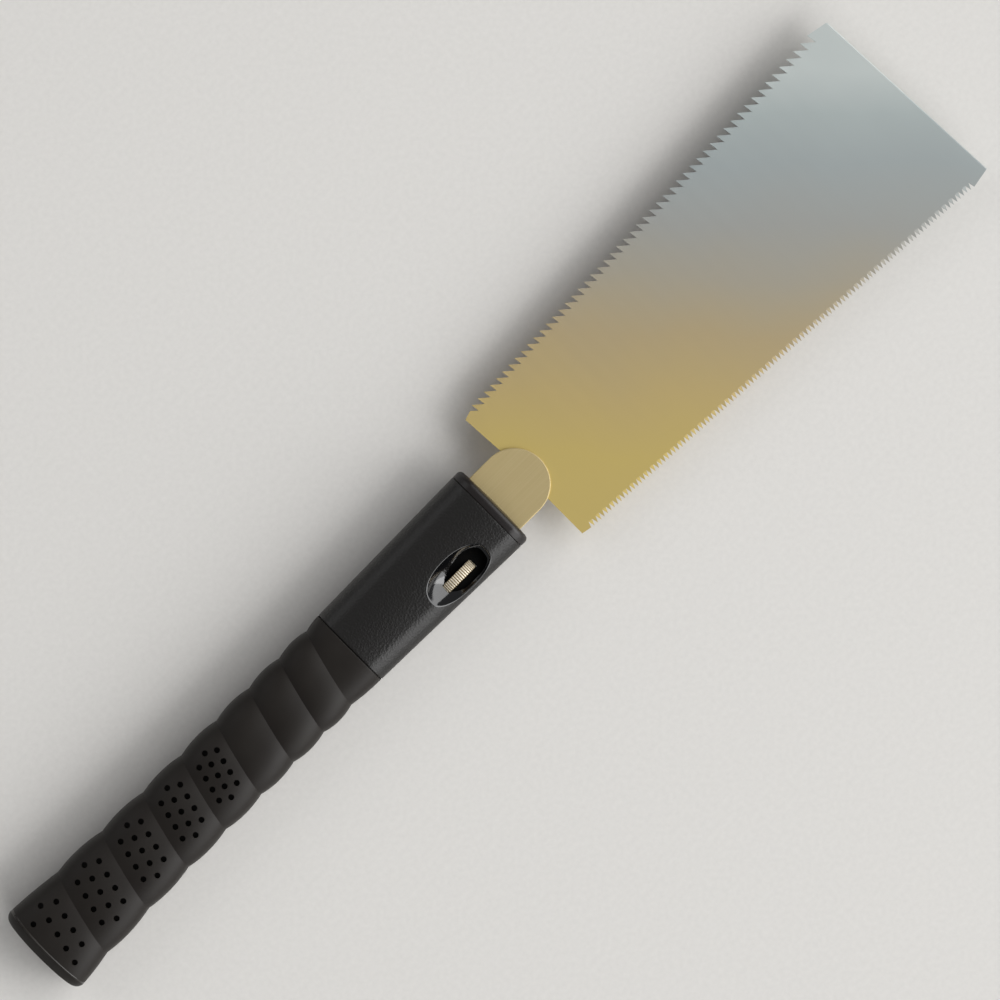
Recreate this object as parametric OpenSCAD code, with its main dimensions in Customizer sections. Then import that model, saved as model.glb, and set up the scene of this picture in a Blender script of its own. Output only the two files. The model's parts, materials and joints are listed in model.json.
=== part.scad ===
// Ryoba saw: a double-edged pull-saw blade, clamped by a thumb wheel in a moulded handle with a ribbed grip.
// Working axes: X runs along the handle towards the toe with 0 at the mouth, Y runs across the blade
// towards the rip teeth, and Z is square to the blade with 0 at its mid-plane. place() then stands
// the saw on its handle with the origin under the middle of its box.

/* [Handle] */
// Length of the handle from the butt to the mouth
handle_len = 240; // [230:1:260]
// Thickness of the handle over its two flat faces
handle_h = 25; // [24:0.5:28]
// Length of the hard housing in front of the grip, nose cap included
housing_len = 76; // [72:1:84]
// Width of the housing at the seam with the grip
seam_w = 33.6; // [32:0.2:35]
// Width of the housing at the mouth
mouth_w = 36.4; // [35:0.2:39]
// Rounding of the housing's long edges
edge_r = 7.5; // [6:0.5:9]
// Length of the nose cap
nose_len = 4; // [3.5:0.25:6]
// Rounding of the nose cap's front edges
nose_r = 2; // [1:0.25:2.5]
// Wall of the nose cap around its spigot
nose_wall = 2.4; // [1.6:0.2:3]
// Thickness of the nose cap in front of its spigot
nose_front = 1.4; // [1:0.1:2]
// Open line at each seam of the handle
seam_gap = 0.2; // [0.1:0.05:0.4]

/* [Core] */
// Width of the core that the grip is pushed on
core_w = 22; // [19:0.5:24]
// Thickness of the core
core_h = 15; // [14:0.5:17]
// Rounding of the core's edges
core_r = 4; // [2:0.5:6]
// Wall of the hollow core and of the housing behind the clamp
shell_wall = 3; // [2:0.25:3.5]
// Solid rubber behind the core at the butt
butt_wall = 11; // [8:0.5:16]

/* [Grip] */
// Number of grooves around the grip
groove_count = 8; // [6:1:8]
// Distance of the front groove behind the seam
first_groove = 11.8; // [8:0.2:14]
// Distance between the two front grooves
groove_pitch = 14.5; // [12:0.5:15]
// Growth of that distance from each groove to the next, towards the butt
pitch_growth = 1.35; // [1:0.05:1.5]
// Depth of a groove
groove_depth = 1.1; // [0.4:0.1:1.4]
// Slant of the grooves, forward per millimetre across
groove_slant = 0.24; // [0:0.01:0.3]
// Bow of the grooves, forward at both edges
groove_bow = 0.5; // [0:0.1:1]
// Width of the grip at its waist
waist_w = 33.6; // [31:0.2:35]
// Width of the grip at the butt
butt_w = 38.6; // [36:0.2:41]
// Length of the flare from the butt to the waist
flare_len = 90; // [60:2:120]
// Length of the bevel round the butt
butt_bevel = 3.2; // [2:0.2:5]
// Crown of the butt, back in the middle of its width
butt_crown = 1; // [0:0.1:2]
// Squareness of the grip's section, as a superellipse exponent
grip_square = 3; // [2.4:0.1:4]
// Diameter of a vent hole in the grip
vent_d = 2.3; // [1.6:0.1:3]
// Depth of the vent holes below the crest of the grip
vent_depth = 3.8; // [2:0.1:4]
// Shift of the vent pattern from the middle of its rib towards the mouth
vent_ahead = 0.2; // [-1:0.1:1]
// Shift of the vent pattern from the handle's axis towards the rip side
vent_side = 0.7; // [-1:0.1:2]
// Least distance of a vent hole's middle from the butt's edge
vent_land = 3.6; // [2:0.1:6]
// Number of perforated ribs at the butt end
vent_ribs = 5; // [3:1:6]

/* [Blade] */
// Length of the blade from heel to toe
blade_len = 202; // [180:1:240]
// Thickness of the blade
blade_t = 0.6; // [0.4:0.05:0.9]
// Width over the line of the tooth tips at the heel
heel_w = 63.8; // [56:0.2:66]
// Width over the line of the tooth tips at the toe
toe_w = 84.8; // [76:0.2:92]
// Bare tang between the mouth and the heel
heel_gap = 15.6; // [12:0.2:20]
// Lean of the toe, back at the rip corner and forward at the crosscut corner
toe_lean = 2; // [0:0.1:3]
// Lean of the rip half of the heel towards the mouth
heel_lean = 1.2; // [0:0.1:2]
// Plain edge between the heel and the first tooth
heel_land = 4.8; // [3.6:0.2:7]
// Plain edge between the last rip tooth and the toe
rip_land = 10.2; // [6:0.2:14]
// Plain edge between the last crosscut tooth and the toe
cross_land = 6.6; // [4:0.2:12]
// Drop of the blade's corners below the line of the tooth tips
corner_drop = 1.8; // [0.5:0.1:2.5]
// Number of rip teeth
rip_teeth = 51; // [30:1:60]
// Growth of the rip pitch from heel to toe, as a share of the mean pitch
rip_growth = 0.17; // [0:0.01:0.3]
// Depth of the rip teeth, as a share of the pitch
rip_depth = 0.9; // [0.6:0.05:1]
// Hook of the rip teeth, the overhang of a tip as a share of the pitch
rip_hook = 0.14; // [0:0.01:0.2]
// Number of crosscut teeth
cross_teeth = 112; // [80:1:130]
// Depth of the crosscut teeth
cross_depth = 2.6; // [2:0.1:3]

/* [Tang] */
// Width of the tang
tang_w = 27; // [24:0.5:27]
// Thickness of each cheek plate on the tang
plate_t = 0.8; // [0.6:0.1:1.2]
// Reach of the cheek plates over the blade, past the heel
plate_reach = 8.5; // [6:0.5:12]
// How far the tang draws in at the heel, under the cheek plates
tang_relief = 1.5; // [1:0.1:3]
// Length of the full-width tang inside the handle
shoulder_len = 15; // [13:0.5:16]
// Length of the whole tang inside the handle
tail_len = 46; // [44:0.5:50]
// Lower edge of the narrow tail, which the clamp presses
tail_low = -0.8; // [-1.5:0.1:0]
// Radius of the rivets through the tang
rivet_r = 1.6; // [1:0.1:2]
// Distance of the front rivets behind the mouth
rivet_x = 8; // [6:0.5:10]
// Distance of the front rivets from the axis
rivet_y = 8; // [5:0.5:9]
// Radius of the stop pin at the end of the tail
pin_r = 2; // [1.5:0.1:2.5]
// Length of the stop pin
pin_len = 12; // [10:0.5:14]
// Wall of the steel tang socket
socket_wall = 0.8; // [0.6:0.1:1]
// Distance of the socket's front end behind the mouth
socket_front = 5.5; // [5:0.5:8]
// Room between the socket's rear end and the stop pin
socket_room = 1; // [0.5:0.1:2]

/* [Clamp] */
// Distance of the thumb wheel behind the mouth
wheel_x = 29; // [28:0.2:30]
// Middle of the thumb wheel's rim across the handle
wheel_y = -9.9; // [-10.4:0.1:-9.6]
// Radius of the thumb wheel over its knurl
wheel_r = 9.4; // [9:0.1:10]
// Width of the thumb wheel
wheel_w = 3.8; // [3:0.1:4]
// Number of knurl ridges round the thumb wheel
knurl_count = 60; // [40:1:72]
// Depth of the knurl
knurl_depth = 0.3; // [0.15:0.05:0.4]
// Bevel on the thumb wheel's rim
wheel_bevel = 0.5; // [0.3:0.1:0.8]
// Radius of the clamp bolt's thread
bolt_r = 2.5; // [2:0.1:3]
// Rise of the thread in one turn
thread_pitch = 0.8; // [0.5:0.1:1]
// Turns of the wheel from tight to free
loosen_turns = 1.25; // [0.5:0.25:1.25]
// Length of the bolt's pressure foot along the tail
foot_len = 9; // [7:0.5:11]
// Thickness of the pressure foot, towards the tail
foot_t = 2.6; // [2:0.1:2.8]
// Height of the pressure foot, square to the blade
foot_h = 3.6; // [3:0.1:4]
// Outer radius of both washers
washer_r = 4.6; // [4:0.1:5]
// Thickness of the thrust washer
thrust_t = 0.8; // [0.6:0.1:1]
// Free height of the spring washer
spring_h = 1.5; // [1.2:0.1:1.6]
// Sheet thickness of the spring washer
spring_t = 0.5; // [0.4:0.05:0.6]

/* [Scoop] */
// Half length of the thumb scoop
scoop_half_len = 15.4; // [13:0.2:16]
// Radius of the thumb scoop round its own axis
scoop_r = 8.4; // [7.6:0.1:9]
// Radius of the scoop's round ends
scoop_end_r = 5; // [4:0.2:6]
// Height of the scoop's axis above the handle's flat face
scoop_rise = 0.4; // [0:0.1:1]
// Offset of the scoop's axis from the middle of the wheel's rim
scoop_offset = 0.25; // [-0.3:0.05:0.8]
// Tilt of the scoop, deeper towards the mouth
scoop_tilt = 4; // [0:0.5:6]

/* [Fasteners] */
// Number of screws that join the two shells
screw_count = 3; // [2:1:4]
// Radius of a screw's thread
screw_r = 1.5; // [1.25:0.05:1.75]
// Radius of a screw's head
screw_head_r = 2.8; // [2.5:0.1:3.2]
// Height of a screw's head
screw_head_h = 2; // [1.6:0.1:2.4]
// Distance of the outer screws from the ends of the core
screw_margin = 18; // [14:1:26]
// Length of a threaded insert
insert_len = 5; // [4:0.5:5.5]
// Outer radius of a threaded insert
insert_r = 2.4; // [2.2:0.1:2.8]
// Radius of the bosses round the screws
boss_r = 4.2; // [3.8:0.1:5]

/* [Fits] */
// Gap of pieces that are fixed together
fit_gap = 0.05; // [0.02:0.01:0.1]
// Gap of pieces that slide or turn on each other
run_gap = 0.08; // [0.05:0.01:0.1]
// Air round the turning wheel in its pocket
wheel_air = 0.6; // [0.4:0.1:1]

/* [Hidden] */
$fn = 64;
// Overrun of a cut past the face that it opens
over = 1;
// Rings and points of the grip's surface
rib_steps = 6;
ring_points = 40;

// Handle
half_h = handle_h / 2;
taper = atan((mouth_w - seam_w) / 2 / housing_len);
spigot_w = mouth_w - 2 * nose_wall;
spigot_h = handle_h - 2 * nose_wall;
spigot_r = edge_r - nose_wall;
core_end = handle_len - butt_wall;
core_len = core_end - housing_len;

// Blade and tang
heel_x = heel_gap;
toe_x = heel_gap + blade_len;
teeth_x = heel_x + heel_land;
rip_len = blade_len - heel_land - rip_land;
cross_len = blade_len - heel_land - cross_land;
tang_t = blade_t + 2 * plate_t;
apex_r = tang_w / 2;
plate_x = heel_x + plate_reach - apex_r;
tail_mid = (tail_low + tang_w / 2) / 2;
tail_rivet_x = (tail_len + wheel_x) / 2;
slot_half_w = tang_w / 2 + run_gap;
slot_half_t = tang_t / 2 + run_gap;
socket_half_t = slot_half_t + socket_wall;
socket_top = slot_half_w + socket_wall;
socket_len = tail_len - pin_r - socket_front - socket_room;

// Clamp, from the pressure foot outwards
foot_top = tail_low - fit_gap;
foot_low = foot_top - foot_t;
clamp_travel = thread_pitch * loosen_turns;
guide_low = foot_low - clamp_travel - run_gap;
wheel_top = wheel_y + wheel_w / 2;
wheel_low = wheel_y - wheel_w / 2;
pocket_top = wheel_top + spring_h + 2 * fit_gap;
pocket_low = wheel_low - thrust_t - 2 * fit_gap;
bolt_low = pocket_low - clamp_travel;
bolt_hole_low = bolt_low - clamp_travel - fit_gap;
pocket_r = wheel_r + wheel_air;
scoop_y = wheel_y + scoop_offset;

// The box of the whole saw
span_mid = (toe_x + toe_lean - handle_len) / 2;

function mix(a, b, t) = a + (b - a) * t;
// Half width of the blade at the line of its tooth tips
function tip_y(x) = mix(heel_w, toe_w, (x - heel_x) / blade_len) / 2;
// Place of rip gullet number k, where the pitch grows from heel to toe
function rip_x(k) = let (t = k / rip_teeth) teeth_x + rip_len * (t + rip_growth / 2 * (t * t - t));

// Stands the saw on its handle, with the origin under the middle of its box
module place() translate([-span_mid, 0, half_h]) children();

// A flat outline across the handle, drawn out along it from x0 to x1
module along_x(x0, x1) translate([x0, 0, 0]) rotate([90, 0, 90]) linear_extrude(x1 - x0) children();

// A flat outline seen along the handle's width, drawn out along +Y from y0 to y1
module along_y(y0, y1) translate([0, y0, 0]) rotate([-90, 0, 0]) linear_extrude(y1 - y0) children();

// A block between two corners
module block(low, high) translate(low) cube(high - low);

module rounded_section(w, h, r) {
  square([w - 2 * r, h], center = true);
  square([w, h - 2 * r], center = true);
  for (sy = [-1, 1], sz = [-1, 1])
    translate([sy * (w / 2 - r), sz * (h / 2 - r)]) circle(r);
}

// One long side of the housing with its two round edges, turned by half the taper
module flank(side) {
  translate([-housing_len, side * seam_w / 2, 0])
    rotate([0, 0, side * taper])
      along_x(-over, housing_len + over)
        mirror([side < 0 ? 1 : 0, 0])
          translate([-mouth_w, 0])
            rounded_section(2 * mouth_w, handle_h, edge_r);
}

// The tapered bar of the housing between two places along the handle
module housing_bar(x0, x1) {
  intersection() {
    flank(1);
    flank(-1);
    block([x0, -mouth_w, -handle_h], [x1, mouth_w, handle_h]);
  }
}

// Blade outline: rip teeth along +Y and crosscut teeth along -Y, all raked for the pull stroke
function rip_edge() = [
  for (k = [0:rip_teeth])
    let (x = rip_x(k), pitch = rip_x(k + 1) - x, tip_x = x - rip_hook * pitch)
      each [[x, tip_y(x) - rip_depth * pitch], [tip_x, tip_y(tip_x)]]
];
cross_pitch = cross_len / cross_teeth;
function cross_edge() = [
  for (k = [cross_teeth:-1:0])
    let (x = teeth_x + k * cross_pitch, tip_x = x + cross_pitch / 3)
      each [[tip_x, -tip_y(tip_x)], [x, -tip_y(x) + cross_depth]]
];
function blade_outline() = concat(
  [[heel_x, tang_w / 2 - tang_relief],
   [heel_x - heel_lean, tip_y(heel_x) - corner_drop],
   [heel_x + heel_land / 2, tip_y(teeth_x) - corner_drop / 2]],
  rip_edge(),
  [[toe_x - toe_lean, tip_y(toe_x) - corner_drop],
   [toe_x + toe_lean, -tip_y(toe_x) + corner_drop]],
  cross_edge(),
  [[teeth_x - cross_pitch / 2, -tip_y(teeth_x) + corner_drop / 4],
   [heel_x, -tip_y(heel_x) + corner_drop],
   [heel_x, -tang_w / 2 + tang_relief],
   [plate_x, -tang_w / 2],
   [-shoulder_len, -tang_w / 2],
   [-shoulder_len, tail_low],
   [-tail_len, tail_low],
   [-tail_len, tang_w / 2],
   [plate_x, tang_w / 2]]);

// Places of the rivets in the tang, all inside the handle
rivet_places = [[-rivet_x, rivet_y], [-rivet_x, -rivet_y], [-tail_rivet_x, tail_mid]];

// What is cut from every layer of the tang: the rivet holes and the half-round seat of the stop pin
module tang_cuts() {
  for (p = rivet_places)
    translate(p) circle(rivet_r + fit_gap);
  translate([-tail_len, tail_mid]) circle(pin_r + fit_gap);
}

module blade() {
  color("silver") place()
    translate([0, 0, -blade_t / 2]) linear_extrude(blade_t)
      difference() {
        polygon(blade_outline());
        tang_cuts();
      }
}

// Cheek plate that stiffens the tang, with a round end over the blade
module cheek_plate() {
  linear_extrude(plate_t)
    difference() {
      union() {
        translate([-shoulder_len, -tang_w / 2]) square([shoulder_len + plate_x, tang_w]);
        translate([-tail_len, tail_low]) square([tail_len, tang_w / 2 - tail_low]);
        translate([plate_x, 0]) circle(apex_r);
      }
      tang_cuts();
    }
}

module tang_plate_front() {
  color("darkkhaki") place()
    translate([0, 0, blade_t / 2]) cheek_plate();
}

module tang_plate_rear() {
  color("darkkhaki") place()
    translate([0, 0, -blade_t / 2 - plate_t]) cheek_plate();
}

module tang_rivets() {
  color("gray") place()
    for (p = rivet_places)
      translate([p[0], p[1], -tang_t / 2]) cylinder(r = rivet_r, h = tang_t);
}

// Steel channel that takes the tang's upper edge, open towards the clamp
module tang_socket() {
  color("slategray") place()
    difference() {
      block([-socket_front - socket_len, tail_low + fit_gap, -socket_half_t],
            [-socket_front, socket_top, socket_half_t]);
      block([-socket_front - socket_len - over, tail_low - over, -slot_half_t],
            [-socket_front + over, slot_half_w, slot_half_t]);
    }
}

module stop_pin() {
  color("silver") place()
    translate([-tail_len, tail_mid, -pin_len / 2]) cylinder(r = pin_r, h = pin_len);
}

// Half outline of the scoop on its own axis: two round ends and straight flanks, which are flatter at the middle
scoop_end_x = scoop_half_len - scoop_end_r;
scoop_slope = asin((scoop_r - scoop_end_r) / scoop_end_x);
module scoop_half_outline() {
  intersection() {
    for (s = [0, 1])
      mirror([0, s]) {
        translate([0, scoop_end_x]) circle(scoop_end_r);
        polygon([[0, 0],
                 [scoop_r, 0],
                 [scoop_r * cos(scoop_slope), scoop_r * sin(scoop_slope)],
                 [scoop_end_r * cos(scoop_slope), scoop_end_x + scoop_end_r * sin(scoop_slope)],
                 [0, scoop_end_x]]);
      }
    translate([0, -scoop_half_len - over]) square([scoop_r + over, 2 * (scoop_half_len + over)]);
  }
}

module thumb_scoop() {
  translate([-wheel_x, scoop_y, half_h + scoop_rise])
    rotate([0, scoop_tilt - 90, 0])
      rotate_extrude() scoop_half_outline();
}

// Places of the shell screws along the core
function screw_x(i) = -housing_len - screw_margin - i * (core_len - 2 * screw_margin) / (screw_count - 1);

// Room for the tang, its socket and its stop pin
module tang_room() {
  block([-shoulder_len - run_gap, -slot_half_w, -slot_half_t], [over, slot_half_w, slot_half_t]);
  block([-socket_front - socket_len - fit_gap, tail_low, -socket_half_t - fit_gap],
        [-socket_front + fit_gap, socket_top + fit_gap, socket_half_t + fit_gap]);
  block([-tail_len - run_gap, tail_low - run_gap, -slot_half_t], [-shoulder_len, slot_half_w, slot_half_t]);
  translate([-tail_len, tail_mid, -pin_len / 2 - fit_gap])
    cylinder(r = pin_r + fit_gap / 2, h = pin_len + 2 * fit_gap);
}

// Room for the thumb wheel, its washers, the bolt and the pressure foot
module clamp_room() {
  translate([-wheel_x, 0, 0]) {
    along_y(pocket_low, pocket_top) circle(pocket_r);
    along_y(bolt_hole_low, tail_low) circle(bolt_r + run_gap);
    block([-foot_len / 2 - run_gap, guide_low, -foot_h / 2 - run_gap],
          [foot_len / 2 + run_gap, tail_low, foot_h / 2 + run_gap]);
  }
}

// Hollow behind the clamp and in the core, with the screw bosses left standing
module shell_hollow() {
  difference() {
    union() {
      along_x(-core_end + shell_wall, -housing_len + shell_wall)
        square([core_w - 2 * shell_wall, core_h - 2 * shell_wall], center = true);
      along_x(-housing_len + shell_wall, -tail_len - pin_r - shell_wall)
        square([seam_w - 2 * edge_r, handle_h - 2 * shell_wall], center = true);
    }
    for (i = [0:screw_count - 1])
      translate([screw_x(i), 0, -core_h / 2]) cylinder(r = boss_r, h = core_h);
  }
}

// One half of the moulded shell, on the +Z side of the blade
module shell_half() {
  difference() {
    intersection() {
      union() {
        housing_bar(-housing_len, -nose_len - seam_gap);
        along_x(-nose_len - shell_wall, -nose_front - fit_gap)
          rounded_section(spigot_w - 2 * fit_gap, spigot_h - 2 * fit_gap, spigot_r - fit_gap);
        along_x(-core_end, -housing_len + over) rounded_section(core_w, core_h, core_r);
      }
      block([-core_end, -mouth_w, 0], [0, mouth_w, handle_h]);
    }
    tang_room();
    clamp_room();
    shell_hollow();
    thumb_scoop();
  }
}

module front_shell() {
  color("dimgray") place()
    difference() {
      shell_half();
      for (i = [0:screw_count - 1])
        translate([screw_x(i), 0, -over]) {
          cylinder(r = screw_r + fit_gap, h = core_h / 2 + 2 * over);
          translate([0, 0, core_h / 2 - screw_head_h - fit_gap + over])
            cylinder(r = screw_head_r + fit_gap, h = screw_head_h + over);
        }
    }
}

module rear_shell() {
  color("dimgray") place()
    difference() {
      mirror([0, 0, 1]) shell_half();
      for (i = [0:screw_count - 1])
        translate([screw_x(i), 0, -insert_len - fit_gap])
          cylinder(r = insert_r + fit_gap / 2, h = insert_len + fit_gap + over);
    }
}

module shell_screws() {
  color("gray") place()
    for (i = [0:screw_count - 1])
      translate([screw_x(i), 0, 0]) {
        translate([0, 0, -insert_len]) cylinder(r = screw_r, h = insert_len + core_h / 2 - fit_gap);
        translate([0, 0, core_h / 2 - screw_head_h - fit_gap]) cylinder(r = screw_head_r, h = screw_head_h);
      }
}

module shell_inserts() {
  color("gold") place()
    for (i = [0:screw_count - 1])
      translate([screw_x(i), 0, -insert_len])
        difference() {
          cylinder(r = insert_r, h = insert_len);
          translate([0, 0, -over]) cylinder(r = screw_r + fit_gap, h = insert_len + 2 * over);
        }
}

// Front outline with two rounded corners, for the nose cap seen from above and from the side
module nose_outline(w) {
  translate([-nose_len - over, -w / 2]) square([nose_len + over - nose_r, w]);
  translate([-nose_len - over, -w / 2 + nose_r]) square([nose_len + over, w - 2 * nose_r]);
  for (s = [-1, 1])
    translate([-nose_r, s * (w / 2 - nose_r)]) circle(nose_r);
}

module nose_cap() {
  color("black") place()
    difference() {
      intersection() {
        housing_bar(-nose_len, 0);
        translate([0, 0, -handle_h]) linear_extrude(2 * handle_h) nose_outline(mouth_w);
        along_y(-mouth_w, mouth_w) nose_outline(handle_h);
      }
      along_x(-nose_len - over, -nose_front) rounded_section(spigot_w, spigot_h, spigot_r);
      block([-nose_len - over, -slot_half_w, -slot_half_t], [over, slot_half_w, slot_half_t]);
    }
}

module thumb_wheel() {
  // The bevels run on past the knurl
  rim_r = wheel_r + knurl_depth;
  color("beige") place()
    translate([-wheel_x, 0, 0])
      difference() {
        intersection() {
          along_y(wheel_low, wheel_top)
            polygon([for (k = [0:2 * knurl_count - 1])
                       let (r = wheel_r - (k % 2) * knurl_depth, a = 180 * k / knurl_count)
                         [r * cos(a), r * sin(a)]]);
          translate([0, wheel_low, 0]) rotate([-90, 0, 0])
            rotate_extrude()
              polygon([[0, 0], [wheel_r - wheel_bevel, 0], [rim_r, rim_r - wheel_r + wheel_bevel],
                       [rim_r, wheel_w - rim_r + wheel_r - wheel_bevel], [wheel_r - wheel_bevel, wheel_w],
                       [0, wheel_w]]);
        }
        along_y(wheel_low - over, wheel_top + over) circle(bolt_r + run_gap);
      }
}

module clamp_bolt() {
  color("silver") place()
    translate([-wheel_x, 0, 0]) {
      along_y(bolt_low, foot_top) circle(bolt_r);
      block([-foot_len / 2, foot_low, -foot_h / 2], [foot_len / 2, foot_top, foot_h / 2]);
    }
}

module thrust_washer() {
  color("goldenrod") place()
    translate([-wheel_x, 0, 0])
      along_y(pocket_low + fit_gap, wheel_low - fit_gap)
        difference() {
          circle(washer_r);
          circle(bolt_r + run_gap);
        }
}

// Dished spring washer that keeps the wheel from rattling
module spring_washer() {
  color("gray") place()
    translate([-wheel_x, wheel_top + fit_gap, 0]) rotate([-90, 0, 0])
      rotate_extrude()
        polygon([[bolt_r + run_gap, spring_h - spring_t], [washer_r, 0],
                 [washer_r, spring_t], [bolt_r + run_gap, spring_h]]);
}

// Grooves of the grip, counted from the seam towards the butt
function groove_x(k) = -housing_len - first_groove - k * groove_pitch - pitch_growth * k * (k - 1) / 2;
grip_front = -housing_len - seam_gap;
bevel_x = -handle_len + butt_bevel;
// Stations along the grip, each with its place, its depth below the crest, and its shares of the
// grooves' slant and of the butt's crown
grip_stations = concat(
  [for (i = [0:rib_steps / 2 - 1])
     let (t = 2 * i / rib_steps)
       [mix(grip_front, groove_x(0), t), groove_depth * t * t, t, 0]],
  [for (k = [0:groove_count - 2], i = [0:rib_steps - 1])
     let (u = 2 * i / rib_steps - 1)
       [mix(groove_x(k), groove_x(k + 1), i / rib_steps), groove_depth * u * u, 1, 0]],
  [for (i = [0:rib_steps / 2])
     let (t = 1 - 2 * i / rib_steps)
       [mix(bevel_x, groove_x(groove_count - 1), t), groove_depth * t * t, t, 1 - t]],
  [for (t = [0.4, 0.75, 1])
     [bevel_x - butt_bevel * t, butt_bevel * (1 - sqrt(1 - 0.9 * t * t)), 0, 1]]);
// Half width of the grip, which flares towards the butt
function grip_half_w(x) = mix(waist_w, butt_w, max(0, 1 - (x - bevel_x) / flare_len) ^ 2) / 2;
// The section is squarer near the seam, where it runs into the housing
function section_power(x) = 2 / (grip_square + max(0, 1 - (grip_front - x) / housing_len * 2));
function signed_power(v, p) = sign(v) * abs(v) ^ p;
function grip_ring(station) =
  let (x = station[0], p = section_power(x), half_w = grip_half_w(x))
    [for (j = [0:ring_points - 1])
       let (a = 360 * j / ring_points,
            y = (half_w - station[1]) * signed_power(cos(a), p),
            z = (half_h - station[1]) * signed_power(sin(a), p))
         [x + station[2] * groove_slant * y
            + (station[2] * groove_bow + station[3] * butt_crown) * (y / half_w) ^ 2, y, z]];

module grip_body() {
  rings = len(grip_stations);
  points = [for (s = grip_stations) each grip_ring(s)];
  walls = [for (i = [0:rings - 2], j = [0:ring_points - 1])
             let (a = i * ring_points + j,
                  b = i * ring_points + (j + 1) % ring_points,
                  c = a + ring_points,
                  d = b + ring_points)
               each [[a, b, c], [b, d, c]]];
  front = [for (j = [ring_points - 1:-1:0]) j];
  // The crowned end, in flat strips from one flat side of the grip to the other
  last = (rings - 1) * ring_points;
  half = ring_points / 2;
  back = [for (j = [0:half - 1])
            j == 0 ? [last, last + 1, last + ring_points - 1]
            : j == half - 1 ? [last + j, last + j + 1, last + j + 2]
            : [last + j, last + j + 1, last + ring_points - j - 1, last + ring_points - j]];
  polyhedron(points, concat(walls, [front], back));
}

// Vent holes of one rib: three rows along the slant, the middle one longer and half a step on
module rib_vents(k) {
  pitch = groove_x(k) - groove_x(k + 1);
  mid = (groove_x(k) + max(groove_x(k + 1), -handle_len)) / 2;
  for (row = [-1:1], j = [-2:0.5:2])
    let (in_row = (row == 0) == (j == floor(j)),
         y = j * pitch / 4,
         x = mid + row * pitch / 4 + groove_slant * y + vent_ahead)
      if (in_row && x > bevel_x + vent_land)
        translate([x, y + vent_side]) circle(vent_d / 2);
}

module grip_sleeve() {
  color("black") place()
    difference() {
      grip_body();
      along_x(-core_end - fit_gap, -housing_len + over)
        rounded_section(core_w + 2 * fit_gap, core_h + 2 * fit_gap, core_r + fit_gap);
      for (side = [0, 1])
        mirror([0, 0, side])
          translate([0, 0, half_h - vent_depth])
            linear_extrude(vent_depth + over)
              for (k = [groove_count - vent_ribs:groove_count - 1])
                rib_vents(k);
    }
}

blade();
tang_plate_front();
tang_plate_rear();
tang_rivets();
front_shell();
rear_shell();
nose_cap();
grip_sleeve();
thumb_wheel();
clamp_bolt();
thrust_washer();
spring_washer();
tang_socket();
stop_pin();
shell_screws();
shell_inserts();
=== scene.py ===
"""Looks of a ryoba saw: a double-edged blade, clamped by a thumb wheel in a moulded handle with a ribbed
grip."""
import json
import math

import bmesh
import bpy
import numpy as np
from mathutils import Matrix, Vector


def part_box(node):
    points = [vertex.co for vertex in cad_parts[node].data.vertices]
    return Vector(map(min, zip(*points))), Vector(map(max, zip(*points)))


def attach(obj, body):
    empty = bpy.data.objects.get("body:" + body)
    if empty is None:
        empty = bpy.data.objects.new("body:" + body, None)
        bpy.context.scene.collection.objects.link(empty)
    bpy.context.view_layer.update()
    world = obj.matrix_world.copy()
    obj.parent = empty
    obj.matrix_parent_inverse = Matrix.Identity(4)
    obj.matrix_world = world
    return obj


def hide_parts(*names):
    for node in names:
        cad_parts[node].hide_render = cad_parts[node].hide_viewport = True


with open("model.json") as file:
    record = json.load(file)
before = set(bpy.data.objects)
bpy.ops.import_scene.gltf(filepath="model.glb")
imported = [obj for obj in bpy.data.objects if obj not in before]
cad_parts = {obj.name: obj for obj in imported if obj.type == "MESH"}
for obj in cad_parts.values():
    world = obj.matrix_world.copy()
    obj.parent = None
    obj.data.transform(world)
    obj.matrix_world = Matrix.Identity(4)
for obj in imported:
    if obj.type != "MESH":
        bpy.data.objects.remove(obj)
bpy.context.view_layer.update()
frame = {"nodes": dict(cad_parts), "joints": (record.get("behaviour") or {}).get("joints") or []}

MM = 0.001

# Working axes, in millimetres: x runs from the mouth to the toe, y across to the rip teeth, z up from the
# blade's mid-plane. MOUTH is where they start, in metres.
MOUTH = np.array([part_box("nose_cap")[1].x, 0.0, sum(corner.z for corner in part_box("blade")) / 2])


def node_box(name):
    """Lowest and highest corner of a solid, in the working axes."""
    return (np.array(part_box(name)) - MOUTH) / MM


# Handle: the housing from the grip's seam to the mouth, with crowned faces, and the nose cap round the mouth
HALF_H = MOUTH[2] / MM
HANDLE_LEN = 240.0
HOUSING_LEN = 76.0
SEAM_W = 33.6
MOUTH_W = 36.4
EDGE_R = 7.5
FACE_CROWN = 2.3
NOSE_LEN = 4.0
NOSE_R = 2.0
NOSE_WALL = 2.4
NOSE_FRONT = 1.4
NOSE_BOW = 0.4
SPIGOT_W = MOUTH_W - 2 * NOSE_WALL
SPIGOT_H = 2 * (HALF_H - NOSE_WALL)
SEAM_GAP = 0.05
SEAM_R = 0.35
REVEAL_W = 0.35
REVEAL_DEPTH = 1.2
PARTING_R = 0.15
# A softened seam, in shares of its radius: the way along, and the way in from the skin
SEAM_CURVE = [(0.0, 1.0), (0.13, 0.5), (0.4, 0.13), (1.0, 0.0)]
# Rings on the front of the nose cap, as shares of its edge
NOSE_RINGS = (0.85, 0.65, 0.4, 0.15)
# Points along the housing, across its face, round an edge and down a side, and along the nose cap and round
# its front
LENGTH_POINTS = 97
FACE_POINTS = 39
EDGE_POINTS = 20
SIDE_POINTS = 5
CAP_POINTS = 4
NOSE_POINTS = 9
# Numbers of a shell's finishes: its grained skin, the polished scoop and the bare inside
SKIN, BOWL, INSIDE = 0, 1, 2

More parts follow.
